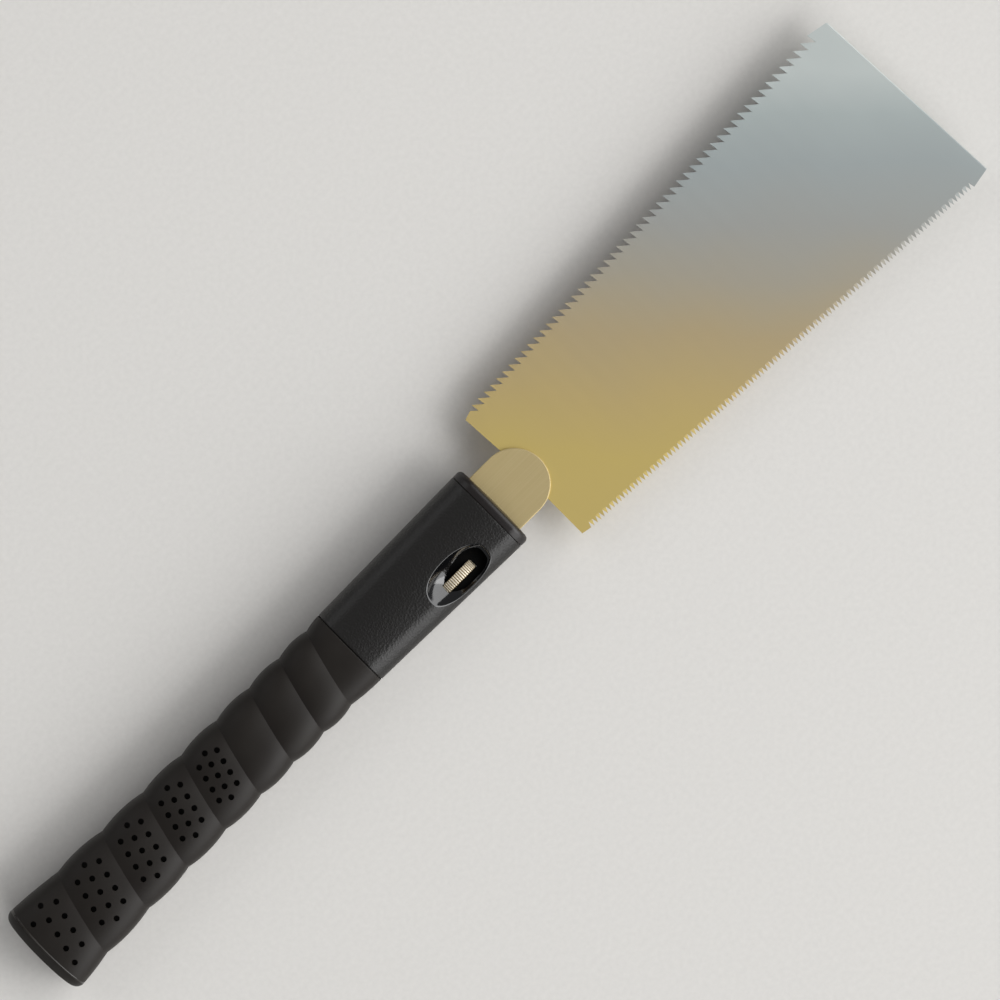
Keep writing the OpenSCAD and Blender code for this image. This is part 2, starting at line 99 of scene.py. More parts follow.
# Core under the grip
CORE_W = 22.0
CORE_H = 15.0
CORE_R = 4.0
SHELL_WALL = 3.0
BUTT_WALL = 11.0
CORE_END = -HANDLE_LEN + BUTT_WALL
BUTT_BEVEL = 3.2
BEVEL_X = -HANDLE_LEN + BUTT_BEVEL

# Grip: ribs between slanting grooves, whose pitch grows towards the butt
GROOVES = 8
FIRST_GROOVE = 11.8
GROOVE_PITCH = 14.5
PITCH_GROWTH = 1.35
GROOVE_DEPTH = 1.1
GROOVE_SLANT = 0.24
GROOVE_BOW = 0.5
WAIST_W = 33.6
BUTT_W = 38.6
FLARE_LEN = 90.0
BUTT_DROP = 3.2
BUTT_SAG = 0.6
BUTT_CROWN = 1.0
# Share of the butt's drop by which its faces fall away at once
BUTT_STEEP = 0.9
# A bead along the butt's edge, and its section: the way across it and up it, in shares
BEAD_W = 0.9
BEAD_H = 0.28
BEAD_CURVE = [(0.6, 0.85), (0.5, 1.0), (0.4, 0.85), (0.0, 0.0)]
# Power of the section, more than 2 for a squarer one, and what the seam adds to it over a way from there
GRIP_SQUARE = 3.0
SEAM_SQUARE = 0.3
SQUARE_RUN = HOUSING_LEN / 2
# A soft edge at the seam: its drop, and its share of the first rib
LIP_DROP = 0.1
LIP_SHARE = 0.01
# Points along the first, a middle and the last rib, round the butt, and round the grip
FIRST_POINTS = 18
RIB_POINTS = 29
LAST_POINTS = 20
BUTT_POINTS = 15
GRIP_AROUND = 144
VENT_D = 2.3
VENT_DEPTH = 3.8
VENT_AHEAD = 0.2
VENT_SIDE = 0.7
VENT_LAND = 3.6
VENT_RIBS = 5
# Vent holes on a rib, in quarters of its pitch: the place of a row along it, and its holes across it
VENT_ROWS = {-1: (-1.5, -0.5, 0.5, 1.5), 0: (-2, -1, 0, 1, 2), 1: (-1.5, -0.5, 0.5, 1.5)}
VENT_SIDES = 28

# Blade: lands are plain edge before and after the teeth. RIP_DEPTH, RIP_REACH, RIP_HOOK and CROSS_LEAN are
# shares of a tooth's pitch.
BLADE_LEN = 202.0
BLADE_T = 0.6
HEEL_W = 63.8
TOE_W = 84.8
HEEL_X = 15.6
TOE_X = HEEL_X + BLADE_LEN
TOE_LEAN = 2.0
HEEL_LEAN = 1.2
HEEL_LAND = 4.8
RIP_LAND = 10.2
CROSS_LAND = 6.6
CORNER_DROP = 1.8
TEETH_X = HEEL_X + HEEL_LAND
RIP_TEETH = 51
RIP_GROWTH = 0.17
RIP_DEPTH = 0.9
RIP_REACH = 0.1
RIP_HOOK = 0.14
RIP_SET = 0.14
CROSS_TEETH = 112
CROSS_DEPTH = 2.6
CROSS_LEAN = 1 / 3
CROSS_SET = 0.08
TOOTH_EDGE = 0.32
# The ground edge of the toe: what is taken off each face, and its share of the way to the teeth
TOE_GRIND = 0.15
TOE_SHARE = 0.045

# Tang and its cheek plates
TANG_W = 27.0
TANG_RELIEF = 1.5
PLATE_T = 0.8
PLATE_REACH = 8.5
PLATE_X = HEEL_X + PLATE_REACH - TANG_W / 2
PLATE_BEVEL_W = 0.3
PLATE_BEVEL_H = 0.09
SHOULDER_X = -15.0
TAIL_X = -46.0
TAIL_LOW = -0.8
TAIL_MID = (TAIL_LOW + TANG_W / 2) / 2
RIVET_R = 1.6
RIVETS = [(-8.0, 8.0), (-8.0, -8.0), (-37.5, TAIL_MID)]
PIN_R = 2.0
PLATE_POINTS = 49
SEAT_POINTS = 17

# Clamp
WHEEL_X = -29.0
WHEEL_R = 9.4
WHEEL_AIR = 0.6
WHEEL_BEVEL = 0.5
KNURLS = 60
KNURL_DEPTH = 0.3
# A ridge of the knurl: its flat top and its flank, in shares of half a ridge, and how hollow the flank is
RIDGE_TOP = 0.35
RIDGE_FLANK = 0.5
RIDGE_HOLLOW = 1.3
RIDGE_POINTS = 10
# A rim of the wheel, in shares of its bevel: the way in from the side, and from the ridges
WHEEL_RIM = [(0.0, 1.0), (0.3, 0.3), (1.0, 0.0)]
BOLT_R = 2.5
FOOT_T = 2.6
FOOT_H = 3.6

# Thumb scoop: a bowl beside the wheel, tilted along the handle and rolled towards its edge, with a soft lip
SCOOP_Y = -9.65
SCOOP_HALF_LEN = 15.3
SCOOP_R = 8.0
SCOOP_DEPTH = 6.2
SCOOP_RISE = -0.2
SCOOP_TILT = math.radians(4)
SCOOP_ROLL = math.radians(12)
SCOOP_LIP = 0.45
# Power of the scoop's outline, more than 2 for blunter ends, and the least share of its depth
SCOOP_BLUNT = 2.2
SCOOP_LEAST = 0.1
# The patch of skin round it: its margin along the handle, its two sides as places across the skin, its rings
# as shares of the way out from the lip, the points over the lip and down the bowl, how often a spoke is
# halved to find the rim, and the share of it by which its pace is measured
PATCH_MARGIN = 3.5
PATCH_SIDES = (-0.25, 1.85)
PATCH_RINGS = (0.8, 0.6, 0.42, 0.27, 0.15, 0.06)
LIP_POINTS = 6
BOWL_POINTS = 15
HALVINGS = 40
PACE = 0.02

# Wheel well, cut steeply through the scoop: a bow's point behind the wheel, its turn, the square of its half
# width for each millimetre from the point, and the way from the point to the middle of the well
WELL_POINT = np.array([-35.5, -9.7])
WELL_TURN = math.radians(-4)
WELL_OPEN = 4.0
WELL_MID = 9.5
# The well's least way in from the scoop's rim, how sharply bow and rim meet, and the height of its floor
WELL_EDGE = 1.2
WELL_ROUND = 8
WELL_LOW = 6.0

# Fasteners and fits
SCREWS = 3
SCREW_R = 1.5
SCREW_HEAD_R = 2.8
SCREW_HEAD_H = 2.0
SCREW_MARGIN = 18.0
INSERT_LEN = 5.0
INSERT_R = 2.4
BOSS_R = 4.2
FIT_GAP = 0.05
RUN_GAP = 0.08
# Half of the slot that the tang runs in, across and in height
SLOT_W = TANG_W / 2 + RUN_GAP
SLOT_T = BLADE_T / 2 + PLATE_T + RUN_GAP
# Sides of a round bar, and of the room round the wheel
ROD_SIDES = 64
WHEEL_SIDES = 128
# How far a cut goes past what it cuts
OVER = 1.0
# A length too small to matter, and the distance below which two points of a mesh are one
TINY = 1e-6
WELD = 1e-4


def mix(a, b, t):
    return a + (b - a) * t


# Finishes


def linear(colour):
    """Linear colour of an sRGB hex value."""
    parts = [int(colour[i:i + 2], 16) / 255 for i in (1, 3, 5)]
    return [p / 12.92 if p <= 0.04045 else ((p + 0.055) / 1.055) ** 2.4 for p in parts] + [1.0]


def add_node(tree, kind, inputs=None, stops=(), **settings):
    """Adds a node with its settings, sets or links its inputs, and gives a ramp its stops of place and hex
    colour. An input that is a node takes that node's first output."""
    node = tree.nodes.new("ShaderNode" + kind)
    for name, value in settings.items():
        setattr(node, name, value)
    for key, value in (inputs or {}).items():
        if isinstance(value, bpy.types.Node):
            value = value.outputs[0]
        if isinstance(value, bpy.types.NodeSocket):
            tree.links.new(value, node.inputs[key])
        else:
            node.inputs[key].default_value = value
    for i, (at, colour) in enumerate(stops):
        # A new ramp has two stops of its own
        ramp = node.color_ramp.elements
        stop = ramp[i] if i < len(ramp) else ramp.new(at)
        stop.position, stop.color = at, linear(colour)
    return node


def new_finish(name, **sockets):
    """A material with its shader, whose plain sockets are set, and the place on the object in metres."""
    material = bpy.data.materials.new(name)
    material.use_nodes = True
    tree = material.node_tree
    tree.nodes.clear()
    shader = add_node(tree, "BsdfPrincipled", {key.replace("_", " "): v for key, v in sockets.items()})
    add_node(tree, "OutputMaterial", {"Surface": shader})
    place = add_node(tree, "TexCoord").outputs["Object"]
    return material, tree, shader, place


def lay_on(tree, shader, colour, rough=None, relief=None):
    """Gives a shader its colour, a roughness from a pattern, its lowest and highest value, and a relief from
    a pattern, its strength and its depth in millimetres."""
    tree.links.new(colour.outputs[0], shader.inputs["Base Color"])
    if rough:
        pattern, low, high = rough
        spread = add_node(tree, "MapRange", {"Value": pattern, "To Min": low, "To Max": high})
        tree.links.new(spread.outputs[0], shader.inputs["Roughness"])
    if relief:
        pattern, strength, depth_mm = relief
        bump = add_node(tree, "Bump", {"Height": pattern, "Strength": strength, "Distance": depth_mm * MM})
        tree.links.new(bump.outputs[0], shader.inputs["Normal"])


def satin_saw_steel():
    """Cold-rolled spring steel, satin ground: a soft sheen without clear reflections. Its colour holds a
    painted
    reflection: straw gold at the heel, fading to cool bare steel at the toe."""
    material, tree, shader, place = new_finish("spring_steel_satin_ground", Metallic=1.0)
    # From heel to toe the painted reflection goes through most of its ramp. It runs a little further along
    # the crosscut side, and drifts in slow clouds.
    ramp_share, lean_per_m, drift_share = 0.86, 4.2, 0.1
    cloud_mm = 45.0
    axes = add_node(tree, "SeparateXYZ", {"Vector": place})
    along = add_node(tree, "MapRange", {
        "Value": axes.outputs["X"],
        "From Min": MOUTH[0] + HEEL_X * MM,
        "From Max": MOUTH[0] + TOE_X * MM,
        "To Max": ramp_share})
    lean = add_node(tree, "Math", {0: axes.outputs["Y"], 1: lean_per_m, 2: along}, operation="MULTIPLY_ADD")
    cloud = add_node(tree, "TexNoise", {"Vector": place, "Scale": 1 / (cloud_mm * MM), "Detail": 2.0})
    drift = add_node(tree, "Math", {0: cloud, 1: drift_share, 2: lean}, operation="MULTIPLY_ADD")
    # Painted reflection: warm straw gold at the heel, cool pale steel at the toe
    painted_reflection = add_node(tree, "ValToRGB", {"Fac": drift}, [
        (0.11, "#d1be7c"), (0.24, "#cbb885"), (0.37, "#c2b28f"), (0.5, "#b7b1a2"),
        (0.62, "#b1b2ae"), (0.75, "#b1b8b8"), (0.86, "#bbc3c2"), (0.96, "#ced4d2")])
    # Grinding lines across the blade, drawn at 0.3 mm so that they show
    line_mm, run_mm = 0.3, 55.6
    run = add_node(tree, "Mapping", {
        "Vector": place, "Scale": (1 / (line_mm * MM), 1 / (run_mm * MM), 1 / (run_mm * MM))})
    lines = add_node(tree, "TexNoise", {"Vector": run, "Scale": 1.0, "Detail": 3.0, "Roughness": 0.6})
    shade = add_node(tree, "MapRange", {"Value": lines, "To Min": 0.97, "To Max": 1.03})
    colour = add_node(tree, "MixRGB", {"Fac": 1.0, "Color1": painted_reflection, "Color2": shade}, blend_type="MULTIPLY")
    lay_on(tree, shader, colour, rough=(lines, 0.62, 0.72), relief=(lines, 0.06, 0.02))
    return material


def brushed_plate_steel():
    """Rolled steel strip, brushed lengthwise: long fine streaks of warm grey, drawn at 0.35 mm so that they
    show."""
    material, tree, shader, place = new_finish("steel_strip_brushed", Metallic=1.0)
    streak_mm, run_mm = 0.35, 45.5
    run = add_node(tree, "Mapping", {
        "Vector": place, "Scale": (1 / (run_mm * MM), 1 / (streak_mm * MM), 1 / (streak_mm * MM))})
    streaks = add_node(tree, "TexNoise", {"Vector": run, "Scale": 1.0, "Detail": 4.0, "Roughness": 0.65})
    colour = add_node(tree, "ValToRGB", {"Fac": streaks}, [
        (0.3, "#c6b588"), (0.5, "#cab98c"), (0.68, "#cdbd92")])
    lay_on(tree, shader, colour, rough=(streaks, 0.58, 0.66), relief=(streaks, 0.08, 0.03))
    return material


def grained_housing_plastic():
    """ABS moulded in an etched tool: a fine leather grain of low round bumps, which breaks up the sheen along
    the round edges, on a deep warm black."""
    material, tree, shader, place = new_finish("abs_moulded_leather_grain", Specular_IOR_Level=0.56)
    # Bumps of one size, bent a little out of line
    grain_mm, warp_mm, bend_mm = 0.8, 1.6, 0.35
    warp = add_node(tree, "TexNoise", {"Vector": place, "Scale": 1 / (warp_mm * MM), "Detail": 2.0})
    bent = add_node(tree, "MixRGB", {
        "Fac": bend_mm * MM, "Color1": place, "Color2": warp.outputs["Color"]}, blend_type="ADD")
    cells = add_node(tree, "TexVoronoi", {
        "Vector": bent, "Scale": 1 / (grain_mm * MM), "Smoothness": 0.6}, feature="SMOOTH_F1")
    height = add_node(tree, "Math", {0: 1.0, 1: cells}, operation="SUBTRACT")
    colour = add_node(tree, "ValToRGB", {"Fac": cells}, [(0.1, "#0d0a07"), (0.8, "#080604")])
    lay_on(tree, shader, colour, rough=(cells, 0.38, 0.48), relief=(height, 1.0, 0.1))
    return material


def polished_scoop_plastic():
    """The same ABS from a polished part of the tool: deep gloss black with clear reflections and a faint flow
    haze."""
    material, tree, shader, place = new_finish("abs_moulded_polished", Specular_IOR_Level=0.9)
    haze_mm = 6.0
    haze = add_node(tree, "TexNoise", {"Vector": place, "Scale": 1 / (haze_mm * MM), "Detail": 3.0})
    colour = add_node(tree, "ValToRGB", {"Fac": haze}, [(0.3, "#0b0b0c"), (0.7, "#111113")])
    lay_on(tree, shader, colour, rough=(haze, 0.06, 0.14))
    return material


def bare_inner_plastic():
    """The same ABS inside the handle, as the core pins of the tool left it: dead matt and dirty black."""
    material, tree, shader, place = new_finish("abs_moulded_bare_inside", Specular_IOR_Level=0.1)
    dirt_mm = 1.5
    dirt = add_node(tree, "TexNoise", {"Vector": place, "Scale": 1 / (dirt_mm * MM), "Detail": 2.0})
    colour = add_node(tree, "ValToRGB", {"Fac": dirt}, [(0.3, "#050505"), (0.7, "#090807")])
    lay_on(tree, shader, colour, rough=(dirt, 0.8, 0.9))
    return material


def satin_nose_plastic():
    """Nylon moulded in a fine blasted tool: an even satin black, a touch warm, with a soft light edge. The
    blasting is drawn at 0.3 mm so that it shows."""
    material, tree, shader, place = new_finish("nylon_moulded_satin")
    blast_mm = 0.3
    blast = add_node(tree, "TexNoise", {"Vector": place, "Scale": 1 / (blast_mm * MM), "Detail": 2.0})
    colour = add_node(tree, "ValToRGB", {"Fac": blast}, [(0.3, "#120d0c"), (0.7, "#181211")])
    lay_on(tree, shader, colour, rough=(blast, 0.36, 0.46), relief=(blast, 0.2, 0.02))
    return material


def matt_grip_rubber():
    """Thermoplastic elastomer moulded over the core: matt charcoal black with a dry, faintly dusty bloom and
    no clear highlight. Its skin is drawn at 0.35 mm so that it shows."""
    material, tree, shader, place = new_finish("elastomer_moulded_matt", Specular_IOR_Level=0.32)
    skin_mm, bloom_mm = 0.35, 14.0
    skin = add_node(tree, "TexNoise", {"Vector": place, "Scale": 1 / (skin_mm * MM), "Detail": 3.0})
    bloom = add_node(tree, "TexNoise", {"Vector": place, "Scale": 1 / (bloom_mm * MM), "Detail": 4.0})
    colour = add_node(tree, "ValToRGB", {"Fac": bloom}, [(0.3, "#18130f"), (0.7, "#1d1915")])
    lay_on(tree, shader, colour, rough=(bloom, 0.48, 0.58), relief=(skin, 0.3, 0.03))
    return material


def rubbed_bead_highlight_rubber():
    """The same elastomer on the fine bead round the butt, rubbed smooth by standing and sliding on benches.
    Its colour, lighter than the grip's, is a painted highlight: a clear line of light."""
    material, tree, shader, place = new_finish("elastomer_rubbed_smooth_painted_highlight")
    rub_mm = 1.2
    rub = add_node(tree, "TexNoise", {"Vector": place, "Scale": 1 / (rub_mm * MM), "Detail": 3.0})
    # Lighter than the grip: a painted highlight along the bead
    colour = add_node(tree, "ValToRGB", {"Fac": rub}, [(0.3, "#1c1814"), (0.7, "#2a2622")])
    lay_on(tree, shader, colour, rough=(rub, 0.22, 0.36))
    return material


def plated_wheel_metal():
    """Zinc die casting, bead blasted and nickel plated over its knurl: an even, warm ivory white on the
    ridges,
    with painted shade: golden brown in the valleys and near black on the sides."""
    material, tree, shader, place = new_finish("zinc_cast_blasted_nickel_plated", Metallic=1.0)
    painted_shade_r = WHEEL_R - 4 * KNURL_DEPTH
    blast_mm = 0.8
    axes = add_node(tree, "SeparateXYZ", {"Vector": place})
    centre = MOUTH + np.array([WHEEL_X, 0.0, 0.0]) * MM
    off_x = add_node(tree, "Math", {0: axes.outputs["X"], 1: float(centre[0])}, operation="SUBTRACT")
    off_z = add_node(tree, "Math", {0: axes.outputs["Z"], 1: float(centre[2])}, operation="SUBTRACT")
    flat = add_node(tree, "CombineXYZ", {"X": off_x, "Y": off_z})
    radius = add_node(tree, "VectorMath", {0: flat}, operation="LENGTH")
    # Colour by distance from the axis: painted shade, near black on the sides and golden brown in the valleys
    rise = add_node(tree, "MapRange", {
        "Value": radius.outputs["Value"], "From Min": painted_shade_r * MM, "From Max": WHEEL_R * MM})
    colour = add_node(tree, "ValToRGB", {"Fac": rise}, [
        (0.3, "#1c1916"), (0.74, "#6b5433"), (0.86, "#d6c7a4"), (0.95, "#f0e8d8")])
    blast = add_node(tree, "TexNoise", {"Vector": place, "Scale": 1 / (blast_mm * MM), "Detail": 2.0})
    lay_on(tree, shader, colour, rough=(blast, 0.6, 0.72))
    return material


def worked_metal(name, light, dark, roughness, mark_mm, run):
    """A plain metal with its tool marks, drawn out along one axis: turned, ground, folded or plated stock."""
    material, tree, shader, place = new_finish(name, Metallic=1.0)
    mark_stretch, rough_spread = 12.5, 0.06
    scale = [1 / (mark_mm * MM * (mark_stretch if axis == run else 1)) for axis in "xyz"]
    drawn = add_node(tree, "Mapping", {"Vector": place, "Scale": scale})
    marks = add_node(tree, "TexNoise", {"Vector": drawn, "Scale": 1.0, "Detail": 3.0})
    colour = add_node(tree, "ValToRGB", {"Fac": marks}, [(0.3, dark), (0.7, light)])
    rough = (marks, roughness - rough_spread, roughness + rough_spread)
    lay_on(tree, shader, colour, rough, relief=(marks, 0.2, 0.02))
    return material


saw_steel = satin_saw_steel()
plate_steel = brushed_plate_steel()
housing_plastic = grained_housing_plastic()
scoop_plastic = polished_scoop_plastic()
inner_plastic = bare_inner_plastic()
nose_plastic = satin_nose_plastic()
grip_rubber = matt_grip_rubber()
bead_highlight_rubber = rubbed_bead_highlight_rubber()
wheel_metal = plated_wheel_metal()


# Shapes in the working axes, each a pair of points and faces


def loft(rings):
    """Quads round a stack of closed rings, with a flat face on each end."""
    rings = np.asarray(rings)
    index = np.arange(rings.shape[0] * rings.shape[1]).reshape(rings.shape[:2])
    onward = np.roll(index, -1, axis=1)
    quads = np.stack([index[:-1], onward[:-1], onward[1:], index[1:]], axis=-1).reshape(-1, 4)
    return rings.reshape(-1, 3), quads.tolist() + [index[0, ::-1].tolist(), index[-1].tolist()]


def block(low, high):
    corners = [(low[0], low[1]), (high[0], low[1]), (high[0], high[1]), (low[0], high[1])]
    return loft([[(x, y, z) for x, y in corners] for z in (low[2], high[2])])


def rod(start, end, radius, sides=ROD_SIDES):
    """A round bar between two points that lie along one axis."""
    start, end = np.array(start, float), np.array(end, float)
    axis = int(np.argmax(np.abs(end - start)))
    turn = np.linspace(0, 2 * math.pi, sides, endpoint=False)
    ring = np.zeros((sides, 3))
    ring[:, (axis + 1) % 3] = radius * np.cos(turn)
    ring[:, (axis + 2) % 3] = radius * np.sin(turn)
    return loft([start + ring, end + ring])


def rounded_ring(x, half_w, half_h, r, steps=10):
    """A rounded rectangle across the handle at x."""
    turn = np.linspace(0, math.pi / 2, steps + 1)
    ring = []
    for quarter, (sy, sz) in enumerate(((1, 1), (-1, 1), (-1, -1), (1, -1))):
        a = turn + quarter * math.pi / 2
        y, z = sy * (half_w - r) + r * np.cos(a), sz * (half_h - r) + r * np.sin(a)
        ring.append(np.stack([np.full_like(a, x), y, z], axis=1))
    return np.concatenate(ring)


def rounded_bar(x0, x1, w, h, r):
    return loft([rounded_ring(x, w / 2, h / 2, r) for x in (x0, x1)])


def merge(shapes):
    points, faces, base = [], [], 0
    for shape_points, shape_faces in shapes:
        points.append(shape_points)
        faces += [[base + i for i in face] for face in shape_faces]
        base += len(shape_points)
    return np.concatenate(points), faces


def flipped(shape):
    """The same shape on the other face of the blade."""
    points, faces = shape
    return points * [1, 1, -1], [face[::-1] for face in faces]


def work_object(name, work, finishes):
    """An object from finished mesh work."""
    bmesh.ops.recalc_face_normals(work, faces=work.faces)
    mesh = bpy.data.meshes.new(name)
    for finish in finishes:
        mesh.materials.append(finish)
    work.to_mesh(mesh)
    work.free()
    piece = bpy.data.objects.new(name, mesh)
    bpy.context.scene.collection.objects.link(piece)
    return piece


def new_object(name, shape, finishes, marks=None):
    """An object from a closed shape; marks gives each face the number of its finish."""
    points, faces = shape
    mesh = bpy.data.meshes.new(name)
    mesh.from_pydata((MOUTH + np.asarray(points) * MM).tolist(), [], faces)
    if marks is not None:
        mesh.polygons.foreach_set("material_index", marks)
    work = bmesh.new()
    work.from_mesh(mesh)
    bpy.data.meshes.remove(mesh)
    bmesh.ops.remove_doubles(work, verts=work.verts, dist=WELD * MM)
    return work_object(name, work, finishes)


def carve(piece, shapes, operation="DIFFERENCE", mark=0):
    """Cuts closed shapes out of a piece one after another, or joins them to it, and leaves a plain mesh whose
    new faces have the piece's finish of that number."""
    finishes = list(piece.data.materials)
    tools = [new_object("tool", shape, finishes, [mark] * len(shape[1])) for shape in shapes]
    for tool in tools:
        step = piece.modifiers.new("carve", "BOOLEAN")
        step.solver = "MANIFOLD"
        step.operation = operation
        step.object = tool
    graph = bpy.context.evaluated_depsgraph_get()
    piece.data = bpy.data.meshes.new_from_object(piece.evaluated_get(graph))
    piece.modifiers.clear()
    for tool in tools:
        bpy.data.objects.remove(tool)


def dress(piece, body, node, crease):
    """Smooth shading with creases sharper than an angle, and the piece's place in the frame."""
    piece.data.name = piece.name
    piece.data.shade_smooth()
    piece.data.set_sharp_from_angle(angle=math.radians(crease))
    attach(piece, body)
    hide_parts(node)


# Blade


def tip_y(x):
    """Half width of the blade over its tooth tips."""
    return mix(HEEL_W, TOE_W, (x - HEEL_X) / BLADE_LEN) / 2


def rip_x(k):
    """Where a rip tooth starts; they grow towards the toe."""
    t = k / RIP_TEETH
    return TEETH_X + (BLADE_LEN - HEEL_LAND - RIP_LAND) * (t + RIP_GROWTH / 2 * (t * t - t))


def circle_points(x, y, radius, sides=32):
    return [(x + radius * math.cos(a), y + radius * math.sin(a))
            for a in np.linspace(0, 2 * math.pi, sides, endpoint=False)]


def pin_seat(inset=0.0):
    """Half-round notch in the end of the tang, from its upper side to its lower side."""
    radius = PIN_R + FIT_GAP + inset
    return [(TAIL_X + radius * math.cos(a), TAIL_MID + radius * math.sin(a))
            for a in np.linspace(math.pi / 2, -math.pi / 2, SEAT_POINTS)]


def fill(work, loops):
    """Fills the outer loop of vertices, less the loops inside it."""
    edges = [work.edges.get(pair) or work.edges.new(pair)
             for loop in loops for pair in zip(loop, loop[1:] + loop[:1])]
    bmesh.ops.triangle_fill(work, use_beauty=True, use_dissolve=False, edges=edges)


def wall(work, upper, lower):
    """Quads between two closed loops of vertices."""
    count = len(upper)
    for i in range(count):
        work.faces.new((upper[i], upper[(i + 1) % count], lower[(i + 1) % count], lower[i]))


def make_blade():
    """A flat sheet whose teeth are bent out to alternate sides; crosscut teeth are also ground to one face,
    and the toe is ground thin along its edge."""
    half_t = BLADE_T / 2
    cross_pitch = (BLADE_LEN - HEEL_LAND - CROSS_LAND) / CROSS_TEETH
    # A point's third value, at a tooth's tip or on the ground toe, holds its heights on the two faces
    rip = [(HEEL_X, TANG_W / 2 - TANG_RELIEF, None),
           (HEEL_X - HEEL_LEAN, tip_y(HEEL_X) - CORNER_DROP, None),
           (HEEL_X + HEEL_LAND / 2, tip_y(TEETH_X) - CORNER_DROP / 2, None)]
    for k in range(RIP_TEETH + 1):
        x = rip_x(k)
        pitch = rip_x(k + 1) - x
        tip_x = x - RIP_HOOK * pitch
        bend = RIP_SET * (1 if k % 2 else -1)
        rip.append((x, tip_y(x) - RIP_DEPTH * pitch, None))
        rip.append((tip_x, tip_y(tip_x) + RIP_REACH * pitch,
                    None if k == RIP_TEETH else (half_t + bend, bend - half_t)))
    cross = []
    for k in range(CROSS_TEETH, -1, -1):
        x = TEETH_X + k * cross_pitch
        tip_x = x + CROSS_LEAN * cross_pitch
        bend = CROSS_SET * (1 if k % 2 else -1)
        top, bottom = half_t + bend, bend - half_t
        tip = (top, top - TOOTH_EDGE) if k % 2 else (bottom + TOOTH_EDGE, bottom)
        cross.append((tip_x, -tip_y(tip_x), None if k == CROSS_TEETH else tip))
        cross.append((x, CROSS_DEPTH - tip_y(x), None))
    cross += [(TEETH_X - cross_pitch / 2, CORNER_DROP / 4 - tip_y(TEETH_X), None),
              (HEEL_X, CORNER_DROP / 2 - tip_y(HEEL_X), None),
              (HEEL_X, TANG_RELIEF - TANG_W / 2, None),
              (PLATE_X, -TANG_W / 2, None),
              (SHOULDER_X, -TANG_W / 2, None),
              (SHOULDER_X, TAIL_LOW, None),
              (TAIL_X, TAIL_LOW, None)]
    cross += [(x, y, None) for x, y in reversed(pin_seat())]
    cross += [(TAIL_X, TANG_W / 2, None), (PLATE_X, TANG_W / 2, None)]
    toe = []
    for side, (x, y, _) in ((1, rip[-1]), (-1, cross[0])):
        corner = (TOE_X - side * TOE_LEAN, side * (tip_y(TOE_X) - CORNER_DROP))
        ends = [(mix(corner[0], x, TOE_SHARE), mix(corner[1], y, TOE_SHARE), None),
                (*corner, (half_t - TOE_GRIND, TOE_GRIND - half_t))]
        toe += ends[::side]
    outline = rip + toe + cross

    work = bmesh.new()

    def vertex(x, y, z):
        return work.verts.new(MOUTH + np.array([x, y, z]) * MM)

    heights = [tip or (half_t, -half_t) for x, y, tip in outline]
    sides = [[vertex(x, y, z[side]) for (x, y, tip), z in zip(outline, heights)] for side in (0, 1)]
    holes = [[[vertex(x, y, z) for x, y in circle_points(*place, RIVET_R + FIT_GAP)] for place in RIVETS]
             for z in (half_t, -half_t)]
    for side in (0, 1):
        fill(work, [[v for v, (x, y, tip) in zip(sides[side], outline) if tip is None]] + holes[side])
        for i, (x, y, tip) in enumerate(outline):
            if tip and not outline[i - 1][2]:
                end = next(j for j in range(i, len(outline)) if not outline[j][2])
                work.faces.new(sides[side][i - 1:end + 1])
    wall(work, *sides)
    for upper, lower in zip(*holes):
        wall(work, upper, lower)
    dress(work_object("saw_blade", work, [saw_steel]), "blade", "blade", crease=7)


def plate_outline(inset):
    """Edge of a cheek plate, moved in from its true edge."""
    arc = [(PLATE_X + (TANG_W / 2 - inset) * math.cos(a), (TANG_W / 2 - inset) * math.sin(a))
           for a in np.linspace(-math.pi / 2, math.pi / 2, PLATE_POINTS)]
    return arc + [(TAIL_X + inset, TANG_W / 2 - inset)] + pin_seat(inset) + [
        (TAIL_X + inset, TAIL_LOW + inset),
        (SHOULDER_X + inset, TAIL_LOW + inset),
        (SHOULDER_X + inset, inset - TANG_W / 2)]


def make_tang_plate(name, node, side):
    """Cheek plate with a bevelled outer rim, on one face of the tang."""
    inner = BLADE_T / 2
    outer = inner + PLATE_T
    work = bmesh.new()

    def loop(points, z):
        return [work.verts.new(MOUTH + np.array([x, y, side * z]) * MM) for x, y in points]

    seat = loop(plate_outline(0), inner)
    edge = loop(plate_outline(0), outer - PLATE_BEVEL_H)
    face = loop(plate_outline(PLATE_BEVEL_W), outer)
    holes = [[loop(circle_points(*place, RIVET_R + FIT_GAP), z) for place in RIVETS] for z in (inner, outer)]
    wall(work, seat, edge)
    wall(work, edge, face)
    fill(work, [seat] + holes[0])
    fill(work, [face] + holes[1])
    for lower, upper in zip(*holes):
        wall(work, lower, upper)
    dress(work_object(name, work, [plate_steel]), "blade", node, crease=12)


# Housing


def housing_half_w(x):
    return mix(SEAM_W, MOUTH_W, (x + HOUSING_LEN) / HOUSING_LEN) / 2


def crowned(points):
    """Points of a flat-faced handle, with its faces drawn in towards their edges."""
    share = points[..., 1] / housing_half_w(points[..., 0])
    points[..., 2] *= 1 - FACE_CROWN / HALF_H * share ** 2
    return points


def housing_point(x, q, inset=0.0):
    """A point on the skin of the housing. q is 0 on the middle of the flat face, 1 where an edge starts to
    turn, 2 where it has turned, and 3 at the parting line; it is negative on the rip side."""
    x, q = np.broadcast_arrays(np.asarray(x, float), np.asarray(q, float))
    reach = np.clip(np.abs(q), 0, 1)
    turn = np.clip(np.abs(q) - 1, 0, 1) * math.pi / 2
    drop = np.clip(np.abs(q) - 2, 0, 1)
    y = reach * (housing_half_w(x) - EDGE_R) + (EDGE_R - inset) * np.sin(turn)
    z = (HALF_H - EDGE_R) * (1 - drop) + (EDGE_R - inset) * np.cos(turn)
    return crowned(np.stack([x, -np.sign(q) * y, z], axis=-1))


